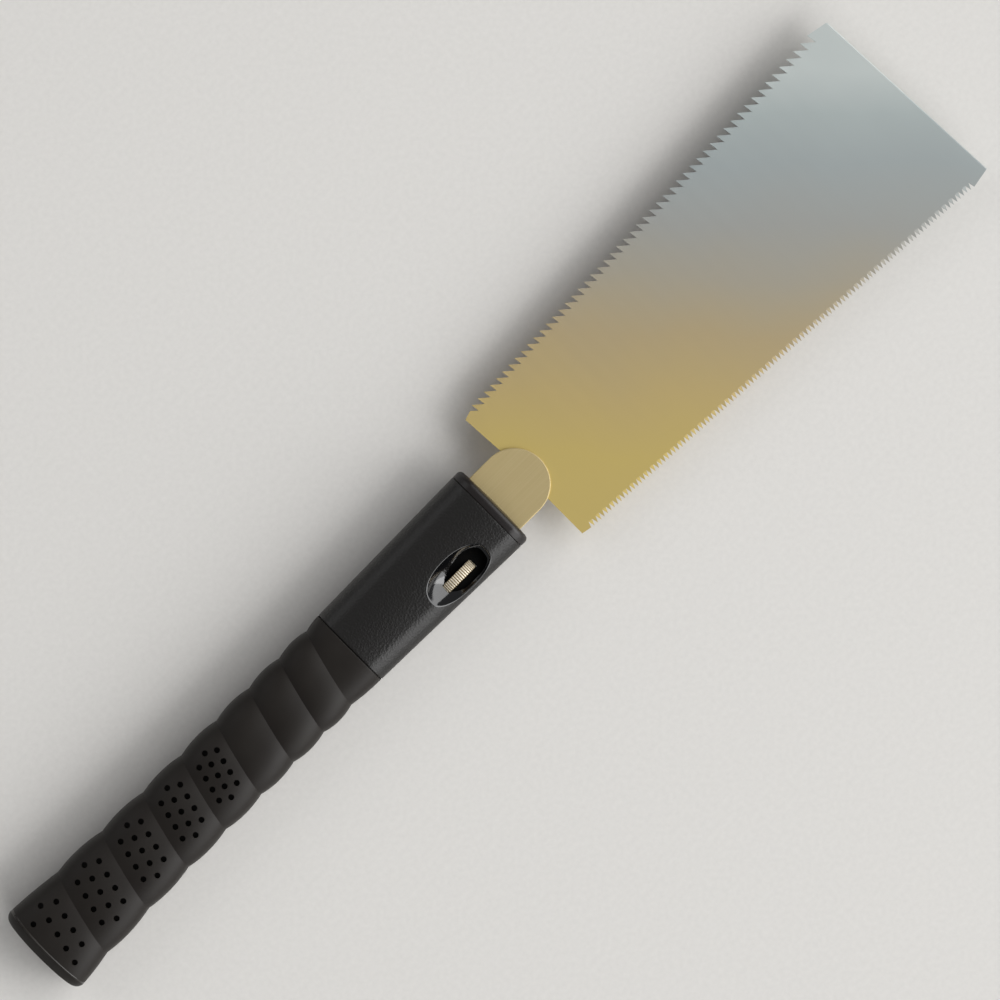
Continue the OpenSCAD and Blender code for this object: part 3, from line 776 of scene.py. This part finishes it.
SCOOP_MID = np.array([WHEEL_X, SCOOP_Y, HALF_H + SCOOP_RISE])
SCOOP_AXIS = np.array([math.cos(SCOOP_TILT), 0.0, -math.sin(SCOOP_TILT)])
SCOOP_ACROSS = np.cross([0.0, -math.sin(SCOOP_ROLL), math.cos(SCOOP_ROLL)], SCOOP_AXIS)
SCOOP_ACROSS /= np.linalg.norm(SCOOP_ACROSS)
SCOOP_UP = np.cross(SCOOP_AXIS, SCOOP_ACROSS)


def scoop_form(along):
    """Radius of the scoop round its axis, widest in the middle, and its depth as a share of that."""
    share = np.clip(np.abs(along) / SCOOP_HALF_LEN, 0, 1)
    depth = np.maximum(np.sqrt(1 - share ** 2), SCOOP_LEAST)
    return SCOOP_R * np.sqrt(1 - share ** SCOOP_BLUNT), SCOOP_DEPTH / SCOOP_R * depth


def scoop_place(point):
    """Where a point lies along the scoop's axis, its angle from straight down, and if it is in the scoop."""
    from_mid = point - SCOOP_MID
    along = from_mid @ SCOOP_AXIS
    radius, flatness = scoop_form(along)
    across, up = from_mid @ SCOOP_ACROSS, from_mid @ SCOOP_UP / flatness
    return along, np.arctan2(across, -up), np.hypot(across, up) < radius


def scoop_point(along, angle):
    """A point on the wall of the scoop."""
    radius, flatness = scoop_form(along)
    sideways, up = radius * np.sin(angle), -radius * flatness * np.cos(angle)
    return SCOOP_MID + along[:, None] * SCOOP_AXIS + sideways[:, None] * SCOOP_ACROSS + up[:, None] * SCOOP_UP


def wheel_well(rim):
    """Steep-walled opening round the wheel: a bow with its point behind the wheel, which opens out to the
    scoop's rim in front."""
    axis = np.array([math.cos(WELL_TURN), math.sin(WELL_TURN)])
    middle = WELL_POINT + WELL_MID * axis
    from_mid = rim[:, :2] - middle
    reach = np.hypot(*from_mid.T)
    ray = from_mid / reach[:, None]
    ahead, beside = ray @ axis, ray @ [-axis[1], axis[0]]
    # Along each ray, the bow is met where the square of its half width is in step with the way from its point
    root = np.sqrt((WELL_OPEN * ahead) ** 2 + 4 * WELL_OPEN * WELL_MID * beside ** 2)
    bow = 2 * WELL_OPEN * WELL_MID / np.maximum(root - WELL_OPEN * ahead, TINY)
    reach = ((reach - WELL_EDGE) ** -WELL_ROUND + bow ** -WELL_ROUND) ** (-1 / WELL_ROUND)
    x, y = (middle + reach[:, None] * ray).T
    return loft([np.stack([x, y, np.full_like(x, z)], axis=1) for z in (WELL_LOW, HALF_H + OVER)])


def housing_skin():
    """Upper half of the housing as a closed solid: a grid over the outside, with a round patch of rings that
    goes down over a soft lip into the thumb scoop."""
    end_steps, end_inset = SEAM_R * np.array(SEAM_CURVE).T
    rear, front = -HOUSING_LEN, -NOSE_LEN - SEAM_GAP
    middle = np.linspace(rear + SEAM_R, front - SEAM_R, LENGTH_POINTS)
    xs = np.concatenate([rear + end_steps[:-1], middle, front - end_steps[-2::-1]])
    insets = np.concatenate([end_inset[:-1], np.zeros(len(middle)), end_inset[-2::-1]])
    parting = [3.0, 3 - PARTING_R / (HALF_H - EDGE_R)]
    side = np.concatenate([parting, np.linspace(2.8, 2, SIDE_POINTS), np.linspace(1.95, 1, EDGE_POINTS)])
    qs = np.concatenate([-side, np.linspace(-0.95, 0.95, FACE_POINTS), side[::-1]])
    grid = housing_point(xs[:, None], qs[None, :], insets[:, None])
    # The skin draws in a little along the parting line
    grid[:, [0, -1], 1] *= 1 - PARTING_R / housing_half_w(0)
    rows, columns = grid.shape[:2]
    index = np.arange(rows * columns).reshape(rows, columns)

    # The patch takes the place of a rectangle of the grid, and has one spoke for each point on its border
    reach = SCOOP_HALF_LEN + PATCH_MARGIN
    i0, i1 = np.searchsorted(xs, (SCOOP_MID[0] - reach, SCOOP_MID[0] + reach))
    j0, j1 = np.searchsorted(qs, PATCH_SIDES)
    border = [(i, j0) for i in range(i0, i1)] + [(i1, j) for j in range(j0, j1)]
    border += [(i, j1) for i in range(i1, i0, -1)] + [(i0, j) for j in range(j1, j0, -1)]
    border = np.array(border)
    far = np.stack([xs[border[:, 0]], qs[border[:, 1]]], axis=1)
    near = np.array([SCOOP_MID[0], -SCOOP_Y / (housing_half_w(SCOOP_MID[0]) - EDGE_R)])

    def spoke(t):
        return housing_point(*(near + (far - near) * t[:, None]).T)

    # Find where each spoke reaches the rim, by halving
    low, high = np.zeros(len(far)), np.ones(len(far))
    for _ in range(HALVINGS):
        t = (low + high) / 2
        inside = scoop_place(spoke(t))[2]
        low, high = np.where(inside, t, low), np.where(inside, high, t)
    rim = spoke(low)
    rim_along, rim_angle = scoop_place(rim)[:2]
    # Where the rim is higher than the scoop's axis, the wall first goes straight down to the lower half
    rim_angle = np.arcsin(np.sin(rim_angle))

    def down(t):
        return scoop_point(rim_along * (1 - t), rim_angle * (1 - t))

    # The lip is a curve from a point outside the rim to a point inside it
    step = np.full(len(far), PACE)
    out_t = low + SCOOP_LIP * step / np.linalg.norm(spoke(low + step) - rim, axis=1)
    in_t = SCOOP_LIP * step / np.linalg.norm(down(step) - rim, axis=1)
    outside, inside = spoke(out_t), down(in_t)
    rings = [spoke(mix(out_t, 1, u)) for u in PATCH_RINGS]
    lip_start = len(rings)
    for u in np.linspace(0, 1, LIP_POINTS):
        rings.append((1 - u) ** 2 * outside + 2 * u * (1 - u) * rim + u ** 2 * inside)
    rings += [down(mix(in_t, 1, u)) for u in np.linspace(0, 1, BOWL_POINTS)[1:-1]]

    count = len(border)
    bottom = scoop_point(np.zeros(1), np.zeros(1))
    points = np.concatenate([grid.reshape(-1, 3), *rings, bottom])
    ring_index = [index[border[:, 0], border[:, 1]]]
    ring_index += [rows * columns + k * count + np.arange(count) for k in range(len(rings))]
    faces = [[index[i, j], index[i, j + 1], index[i + 1, j + 1], index[i + 1, j]]
             for i in range(rows - 1) for j in range(columns - 1)
             if not (i0 <= i < i1 and j0 <= j < j1)]
    marks = [SKIN] * len(faces)
    for k, (outer, inner) in enumerate(zip(ring_index, ring_index[1:])):
        faces += [[outer[n], outer[(n + 1) % count], inner[(n + 1) % count], inner[n]] for n in range(count)]
        marks += [BOWL if k > lip_start else SKIN] * count
    faces += [[inner[n], inner[(n + 1) % count], len(points) - 1] for n in range(count)]
    marks += [BOWL] * count
    # Close the solid at both ends and along the parting line
    faces += [index[0].tolist(), index[-1, ::-1].tolist(), index[:, 0].tolist() + index[::-1, -1].tolist()]
    marks += [SKIN] * 3
    return (points, [[int(i) for i in face] for face in faces]), marks, rim


def screw_x(i):
    first = -HOUSING_LEN - SCREW_MARGIN
    return mix(first, CORE_END + SCREW_MARGIN, i / (SCREWS - 1))


def housing_rooms():
    """What is hollow in either shell: room for the tang, the clamp and their fittings, and the empty core."""
    socket = node_box("tang_socket") + [[-FIT_GAP] * 3, [FIT_GAP] * 3]
    pin = node_box("stop_pin")
    bolt = node_box("clamp_bolt")
    clamp_slide = next(joint for joint in frame["joints"] if joint["name"] == "clamp_slide")
    travel = -clamp_slide["range_m"][0] / MM
    foot_low = bolt[1][1] - FOOT_T - travel - RUN_GAP
    washer_low = node_box("thrust_washer")[0][1] - FIT_GAP
    washer_top = node_box("spring_washer")[1][1] + FIT_GAP
    washer_r = max(node_box(name)[1][0] for name in ("thrust_washer", "spring_washer")) - WHEEL_X + FIT_GAP
    wheel_low, wheel_top = node_box("thumb_wheel")[:, 1] + [-RUN_GAP, RUN_GAP]

    def on_wheel(low, top, radius, sides=ROD_SIDES):
        return rod([WHEEL_X, low, 0.0], [WHEEL_X, top, 0.0], radius, sides)

    return [
        block([SHOULDER_X - RUN_GAP, -SLOT_W, -SLOT_T], [OVER, SLOT_W, SLOT_T]),
        block(socket[0], socket[1]),
        block([TAIL_X - RUN_GAP, TAIL_LOW - RUN_GAP, -SLOT_T], [SHOULDER_X, SLOT_W, SLOT_T]),
        rod([TAIL_X, TAIL_MID, pin[0][2] - FIT_GAP], [TAIL_X, TAIL_MID, pin[1][2] + FIT_GAP],
            PIN_R + FIT_GAP / 2),
        on_wheel(wheel_low, wheel_top, WHEEL_R + WHEEL_AIR, WHEEL_SIDES),
        on_wheel(washer_low, washer_top, washer_r),
        on_wheel(bolt[0][1] - travel - FIT_GAP, TAIL_LOW, BOLT_R + RUN_GAP),
        block([bolt[0][0] - RUN_GAP, foot_low, -FOOT_H / 2 - RUN_GAP],
              [bolt[1][0] + RUN_GAP, TAIL_LOW, FOOT_H / 2 + RUN_GAP]),
        block([CORE_END + SHELL_WALL, SHELL_WALL - CORE_W / 2, SHELL_WALL - CORE_H / 2],
              [SHELL_WALL - HOUSING_LEN, CORE_W / 2 - SHELL_WALL, CORE_H / 2 - SHELL_WALL]),
        block([SHELL_WALL - HOUSING_LEN, EDGE_R - SEAM_W / 2, SHELL_WALL - HALF_H],
              [TAIL_X - PIN_R - SHELL_WALL, SEAM_W / 2 - EDGE_R, HALF_H - SHELL_WALL])]


def make_shell(name, node, side):
    """One half of the handle: the housing's skin, the spigot under the nose cap, the core under the grip."""

    def at_screws(low, top, radius):
        return [rod([screw_x(i), 0, low], [screw_x(i), 0, top], radius) for i in range(SCREWS)]

    skin, marks, rim = housing_skin()
    bars = [
        rounded_bar(-NOSE_LEN - SHELL_WALL, -NOSE_FRONT - FIT_GAP,
                    SPIGOT_W - 2 * FIT_GAP, SPIGOT_H - 2 * FIT_GAP, EDGE_R - NOSE_WALL - FIT_GAP),
        rounded_bar(CORE_END, -HOUSING_LEN + OVER, CORE_W, CORE_H, CORE_R)]
    far_half = block([-HANDLE_LEN, -MOUTH_W, -HALF_H - OVER], [OVER, MOUTH_W, 0.0])
    well = wheel_well(rim)
    bosses = at_screws(0, CORE_H / 2 - OVER, BOSS_R)
    if side > 0:
        holes = at_screws(-OVER, HALF_H, SCREW_R + FIT_GAP)
        holes += at_screws(CORE_H / 2 - SCREW_HEAD_H - FIT_GAP, HALF_H, SCREW_HEAD_R + FIT_GAP)
    else:
        holes = at_screws(-OVER, INSERT_LEN + FIT_GAP, INSERT_R + FIT_GAP / 2)
        skin = flipped(skin)
        bars, bosses, holes = [[flipped(one) for one in shapes] for shapes in (bars, bosses, holes)]
        far_half, well = flipped(far_half), flipped(well)
    piece = new_object(name, skin, [housing_plastic, scoop_plastic, inner_plastic], marks)
    carve(piece, bars, "UNION")
    carve(piece, [far_half, well] + housing_rooms(), mark=INSIDE)
    carve(piece, bosses, "UNION")
    carve(piece, holes)
    dress(piece, "handle", node, crease=28)


def make_nose_cap():
    """Bezel round the mouth: softly rounded and slightly bowed in front, with the slot for the tang."""
    turn = np.linspace(0, math.pi / 2, NOSE_POINTS)
    stations = [(SEAM_R * along - NOSE_LEN, SEAM_R * inset) for along, inset in SEAM_CURVE[:-1]]
    stations += [(x, 0.0) for x in np.linspace(SEAM_R - NOSE_LEN, -NOSE_R, CAP_POINTS)[:-1]]
    stations += [(NOSE_R * (math.sin(a) - 1), NOSE_R * (1 - math.cos(a))) for a in turn]
    rings = [crowned(rounded_ring(x, housing_half_w(x) - inset, HALF_H - inset, EDGE_R - inset))
             for x, inset in stations]
    # The front face, in smaller and smaller rings, bowed out in the middle
    for share in NOSE_RINGS:
        ring = rings[len(stations) - 1] * [1, share, share]
        ring[:, 0] = NOSE_BOW * (1 - share ** 2)
        rings.append(ring)
    piece = new_object("nose_bezel", loft(rings), [nose_plastic])
    carve(piece, [
        rounded_bar(-NOSE_LEN - OVER, -NOSE_FRONT, SPIGOT_W, SPIGOT_H, EDGE_R - NOSE_WALL),
        block([-NOSE_LEN - OVER, -SLOT_W, -SLOT_T], [OVER, SLOT_W, SLOT_T])])
    dress(piece, "handle", "nose_cap", crease=28)


# Grip


def groove_x(k):
    """Where a groove crosses the middle of the grip."""
    return -HOUSING_LEN - FIRST_GROOVE - k * GROOVE_PITCH - PITCH_GROWTH * k * (k - 1) / 2


def grip_stations():
    """Places along the grip: x, depth below the crest at the sides and on the faces, share of the slant and
    of the crown."""
    front = -HOUSING_LEN - SEAM_GAP
    # A narrow step at the seam leaves a dark line round the handle
    rows = [(x, REVEAL_DEPTH, REVEAL_DEPTH, 0.0, 0.0) for x in (front, front - REVEAL_W)]
    for t in [0.0, LIP_SHARE / 2, *np.linspace(2 * LIP_SHARE, 1, FIRST_POINTS)[:-1]]:
        depth = GROOVE_DEPTH * t * t + LIP_DROP * max(0.0, 1 - t / LIP_SHARE)
        rows.append((mix(front - REVEAL_W, groove_x(0), t), depth, depth, t, 0.0))
    for k in range(GROOVES - 1):
        for u in np.linspace(-1, 1, RIB_POINTS)[:-1]:
            depth = GROOVE_DEPTH * u * u
            rows.append((mix(groove_x(k), groove_x(k + 1), (u + 1) / 2), depth, depth, 1.0, 0.0))
    # The last rib swells out to the butt at the sides, and sags again towards it on both faces
    crest = 1 / (1 + math.sqrt(GROOVE_DEPTH / BUTT_SAG))
    last_len = BEVEL_X - groove_x(GROOVES - 1)
    for t in np.linspace(1, -BEAD_W / last_len, LAST_POINTS):
        sag = GROOVE_DEPTH * ((t - crest) / (1 - crest)) ** 2
        rows.append((mix(BEVEL_X, groove_x(GROOVES - 1), t), GROOVE_DEPTH * t * t, sag, max(t, 0.0), 1 - t))
    # A fine bead along the edge, then the bevel round the butt
    for t, rise in BEAD_CURVE:
        rows.append((BEVEL_X + BEAD_W * t, 0.0, BUTT_SAG - BEAD_H * rise, 0.0, 1.0))
    for a in np.linspace(0, math.pi / 2, BUTT_POINTS)[1:]:
        along, drop = math.sin(a), 1 - math.cos(a)
        face_drop = mix(drop, along, BUTT_STEEP)
        x = BEVEL_X - BUTT_BEVEL * along
        rows.append((x, BUTT_DROP * drop, BUTT_DROP * face_drop + BUTT_SAG, 0.0, 1.0))
    return rows


def grip_half_w(x):
    """Half width of the grip over its ribs: straight, then flared to the butt."""
    return mix(WAIST_W, BUTT_W, max(0.0, 1 - (x - BEVEL_X) / FLARE_LEN) ** 2) / 2


def make_grip():
    """Rubber sleeve: convex ribs between slanting grooves, squarer near the seam, with vent holes towards the
    butt."""
    turn = np.linspace(0, 2 * math.pi, GRIP_AROUND, endpoint=False)
    rings, marks = [], []
    for x, depth, face_depth, slant, crown in grip_stations():
        half_w = grip_half_w(x)
        from_seam = -HOUSING_LEN - SEAM_GAP - x
        power = 2 / (GRIP_SQUARE + SEAM_SQUARE * max(0.0, 1 - from_seam / SQUARE_RUN))
        y = (half_w - depth) * np.sign(np.cos(turn)) * np.abs(np.cos(turn)) ** power
        z = (HALF_H - face_depth) * np.sign(np.sin(turn)) * np.abs(np.sin(turn)) ** power
        shift = slant * GROOVE_SLANT * y + (slant * GROOVE_BOW + crown * BUTT_CROWN) * (y / half_w) ** 2
        rings.append(np.stack([x + shift, y, z], axis=1))
        # Faces on the bead take the rubbed finish, whose lighter colour is a painted highlight
        marks += [int(BEVEL_X - TINY < x < BEVEL_X + BEAD_W - TINY)] * GRIP_AROUND
    points, faces = loft(rings)
    # The crowned end in flat strips across it
    last, half = len(points) - GRIP_AROUND, GRIP_AROUND // 2
    strips = [(j, j + 1, GRIP_AROUND - j - 1, (GRIP_AROUND - j) % GRIP_AROUND) for j in range(half)]
    faces = faces[:-1] + [[last + i for i in dict.fromkeys(strip)] for strip in strips]
    marks = marks[GRIP_AROUND:] + [0] * (half + 1)
    piece = new_object("grip_rubber", (points, faces), [grip_rubber, bead_highlight_rubber], marks)
    vents = []
    for k in range(GROOVES - VENT_RIBS, GROOVES):
        quarter = (groove_x(k) - groove_x(k + 1)) / 4
        mid = (groove_x(k) + max(groove_x(k + 1), -HANDLE_LEN)) / 2
        for row, steps in VENT_ROWS.items():
            for step in steps:
                y = step * quarter
                x = mid + row * quarter + GROOVE_SLANT * y + VENT_AHEAD
                if x > BEVEL_X + VENT_LAND:
                    vents += [rod([x, y + VENT_SIDE, side * (HALF_H - VENT_DEPTH)],
                                  [x, y + VENT_SIDE, side * (HALF_H + OVER)], VENT_D / 2, VENT_SIDES)
                              for side in (-1, 1)]
    core_room = rounded_bar(
        CORE_END - FIT_GAP, -HOUSING_LEN + OVER, CORE_W + 2 * FIT_GAP, CORE_H + 2 * FIT_GAP, CORE_R)
    carve(piece, [core_room, merge(vents)])
    dress(piece, "handle", "grip_sleeve", crease=13)


# Thumb wheel


def make_wheel():
    """Wheel with a straight knurl of flat-topped ridges, bevelled on both rims and bored for the bolt."""
    count = KNURLS * RIDGE_POINTS
    turn = np.linspace(0, 2 * math.pi, count, endpoint=False)
    share = np.abs((np.arange(count) % RIDGE_POINTS) / RIDGE_POINTS * 2 - 1)
    ridge = WHEEL_R - KNURL_DEPTH * np.clip((share - RIDGE_TOP) / RIDGE_FLANK, 0, 1) ** RIDGE_HOLLOW
    low, high = node_box("thumb_wheel")[:, 1]
    stations = [(low + WHEEL_BEVEL * side, inset) for side, inset in WHEEL_RIM]
    stations += [(high - WHEEL_BEVEL * side, inset) for side, inset in reversed(WHEEL_RIM)]
    rings = []
    for y, inset in stations:
        radius = np.minimum(ridge, WHEEL_R - WHEEL_BEVEL * inset)
        x, z = WHEEL_X + radius * np.cos(turn), radius * np.sin(turn)
        rings.append(np.stack([x, np.full(count, y), z], axis=1))
    piece = new_object("knurled_wheel", loft(rings), [wheel_metal])
    carve(piece, [rod([WHEEL_X, low - OVER, 0], [WHEEL_X, high + OVER, 0], BOLT_R + RUN_GAP)])
    dress(piece, "wheel", "thumb_wheel", crease=25)


make_blade()
make_tang_plate("cheek_plate_upper", "tang_plate_front", 1)
make_tang_plate("cheek_plate_lower", "tang_plate_rear", -1)
make_shell("housing_upper", "front_shell", 1)
make_shell("housing_lower", "rear_shell", -1)
make_nose_cap()
make_grip()
make_wheel()

# Pieces inside the handle keep their solids. The finish of each: name, light and dark colour, roughness, and
# the width and run of its tool marks
INNER_METALS = {
    "tang_rivets": ("rivet_steel_ground_flush", "#9c9a95", "#84827d", 0.34, 0.3, "x"),
    "clamp_bolt": ("bolt_steel_turned", "#a9a9a6", "#8d8d8a", 0.3, 0.25, "x"),
    # The thrust washer's brass is painted near black: painted shade at the wheel's side
    "thrust_washer": ("brass_turned_painted_shade", "#2a2317", "#1c1710", 0.5, 0.25, "z"),
    "spring_washer": ("spring_steel_oil_blackened", "#29292c", "#1b1b1d", 0.5, 0.4, "z"),
    "tang_socket": ("sheet_steel_zinc_plated", "#a6a8a8", "#8b8e90", 0.4, 0.9, "x"),
    "stop_pin": ("dowel_steel_ground", "#b1b1af", "#9a9a98", 0.24, 0.2, "z"),
    "shell_screws": ("screw_steel_zinc_plated", "#a2a4a6", "#86898c", 0.36, 0.3, "z"),
    "shell_inserts": ("insert_brass_turned", "#c49c54", "#a27c3c", 0.34, 0.25, "z"),
}
for node, finish in INNER_METALS.items():
    metal = worked_metal(*finish)
    for slot in frame["nodes"][node].material_slots:
        slot.material = metal

# Studio, in metres: a pale floor, a broad lamp on the crosscut side, one beyond the toe, a faint one on the
# rip side, and even light all round. A lamp has a direction, width, depth and power.
FLOOR_HALF = 3.0
LAMP_DISTANCE = 6.0
LAMPS = {
    "lamp_side": ((0.12, -0.95, 0.56), 7.2, 5.2, 296.0),
    "lamp_end": ((0.83, -0.5, 0.72), 7.2, 5.2, 312.0),
    "lamp_fill": ((-0.1, 0.9, 0.8), 4.0, 4.0, 40.0),
}
ROOM_COLOUR = "#c9c9cb"
ROOM_STRENGTH = 0.28

# Camera straight above, turned so that the saw lies across the picture
VIEW_TURN = math.radians(44.732)
VIEW_CENTRE = MOUTH + np.array([2.5, -0.375, 0.0]) * MM
VIEW_WIDTH = 0.375
CAMERA_HEIGHT = 2.0


def make_floor():
    """Matt paper: even and pale, with a trace of its pulp."""
    corners = [(FLOOR_HALF * x, FLOOR_HALF * y, 0) for x, y in ((-1, -1), (1, -1), (1, 1), (-1, 1))]
    mesh = bpy.data.meshes.new("floor")
    mesh.from_pydata(corners, [], [(0, 1, 2, 3)])
    material, tree, shader, place = new_finish("paper_matt_pale", Roughness=0.9, Specular_IOR_Level=0.1)
    pulp_mm = 2.0
    pulp = add_node(tree, "TexNoise", {"Vector": place, "Scale": 1 / (pulp_mm * MM), "Detail": 2.0})
    colour = add_node(tree, "ValToRGB", {"Fac": pulp}, [(0.2, "#dedcd8"), (0.8, "#e4e2de")])
    lay_on(tree, shader, colour)
    mesh.materials.append(material)
    floor = bpy.data.objects.new("floor", mesh)
    bpy.context.scene.collection.objects.link(floor)


def make_lamp(name, direction, width, depth, power):
    lamp = bpy.data.lights.new(name, "AREA")
    lamp.shape = "RECTANGLE"
    lamp.size, lamp.size_y = width, depth
    lamp.energy = power
    piece = bpy.data.objects.new(name, lamp)
    direction = Vector(direction).normalized()
    piece.location = direction * LAMP_DISTANCE
    piece.rotation_euler = direction.to_track_quat("Z", "Y").to_euler()
    piece.visible_camera = False
    bpy.context.scene.collection.objects.link(piece)


make_floor()
for lamp, settings in LAMPS.items():
    make_lamp(lamp, *settings)
world = bpy.data.worlds.new("studio")
world.use_nodes = True
room = world.node_tree.nodes["Background"].inputs
room["Color"].default_value = linear(ROOM_COLOUR)
room["Strength"].default_value = ROOM_STRENGTH
bpy.context.scene.world = world

lens = bpy.data.cameras.new("camera")
lens.sensor_width = 36.0
lens.lens = lens.sensor_width * CAMERA_HEIGHT / VIEW_WIDTH
camera = bpy.data.objects.new("camera", lens)
camera.location = VIEW_CENTRE + np.array([0.0, 0.0, CAMERA_HEIGHT])
camera.rotation_euler = (0.0, 0.0, -VIEW_TURN)
bpy.context.scene.collection.objects.link(camera)
bpy.context.scene.camera = camera
bpy.context.scene.view_settings.view_transform = "Standard"
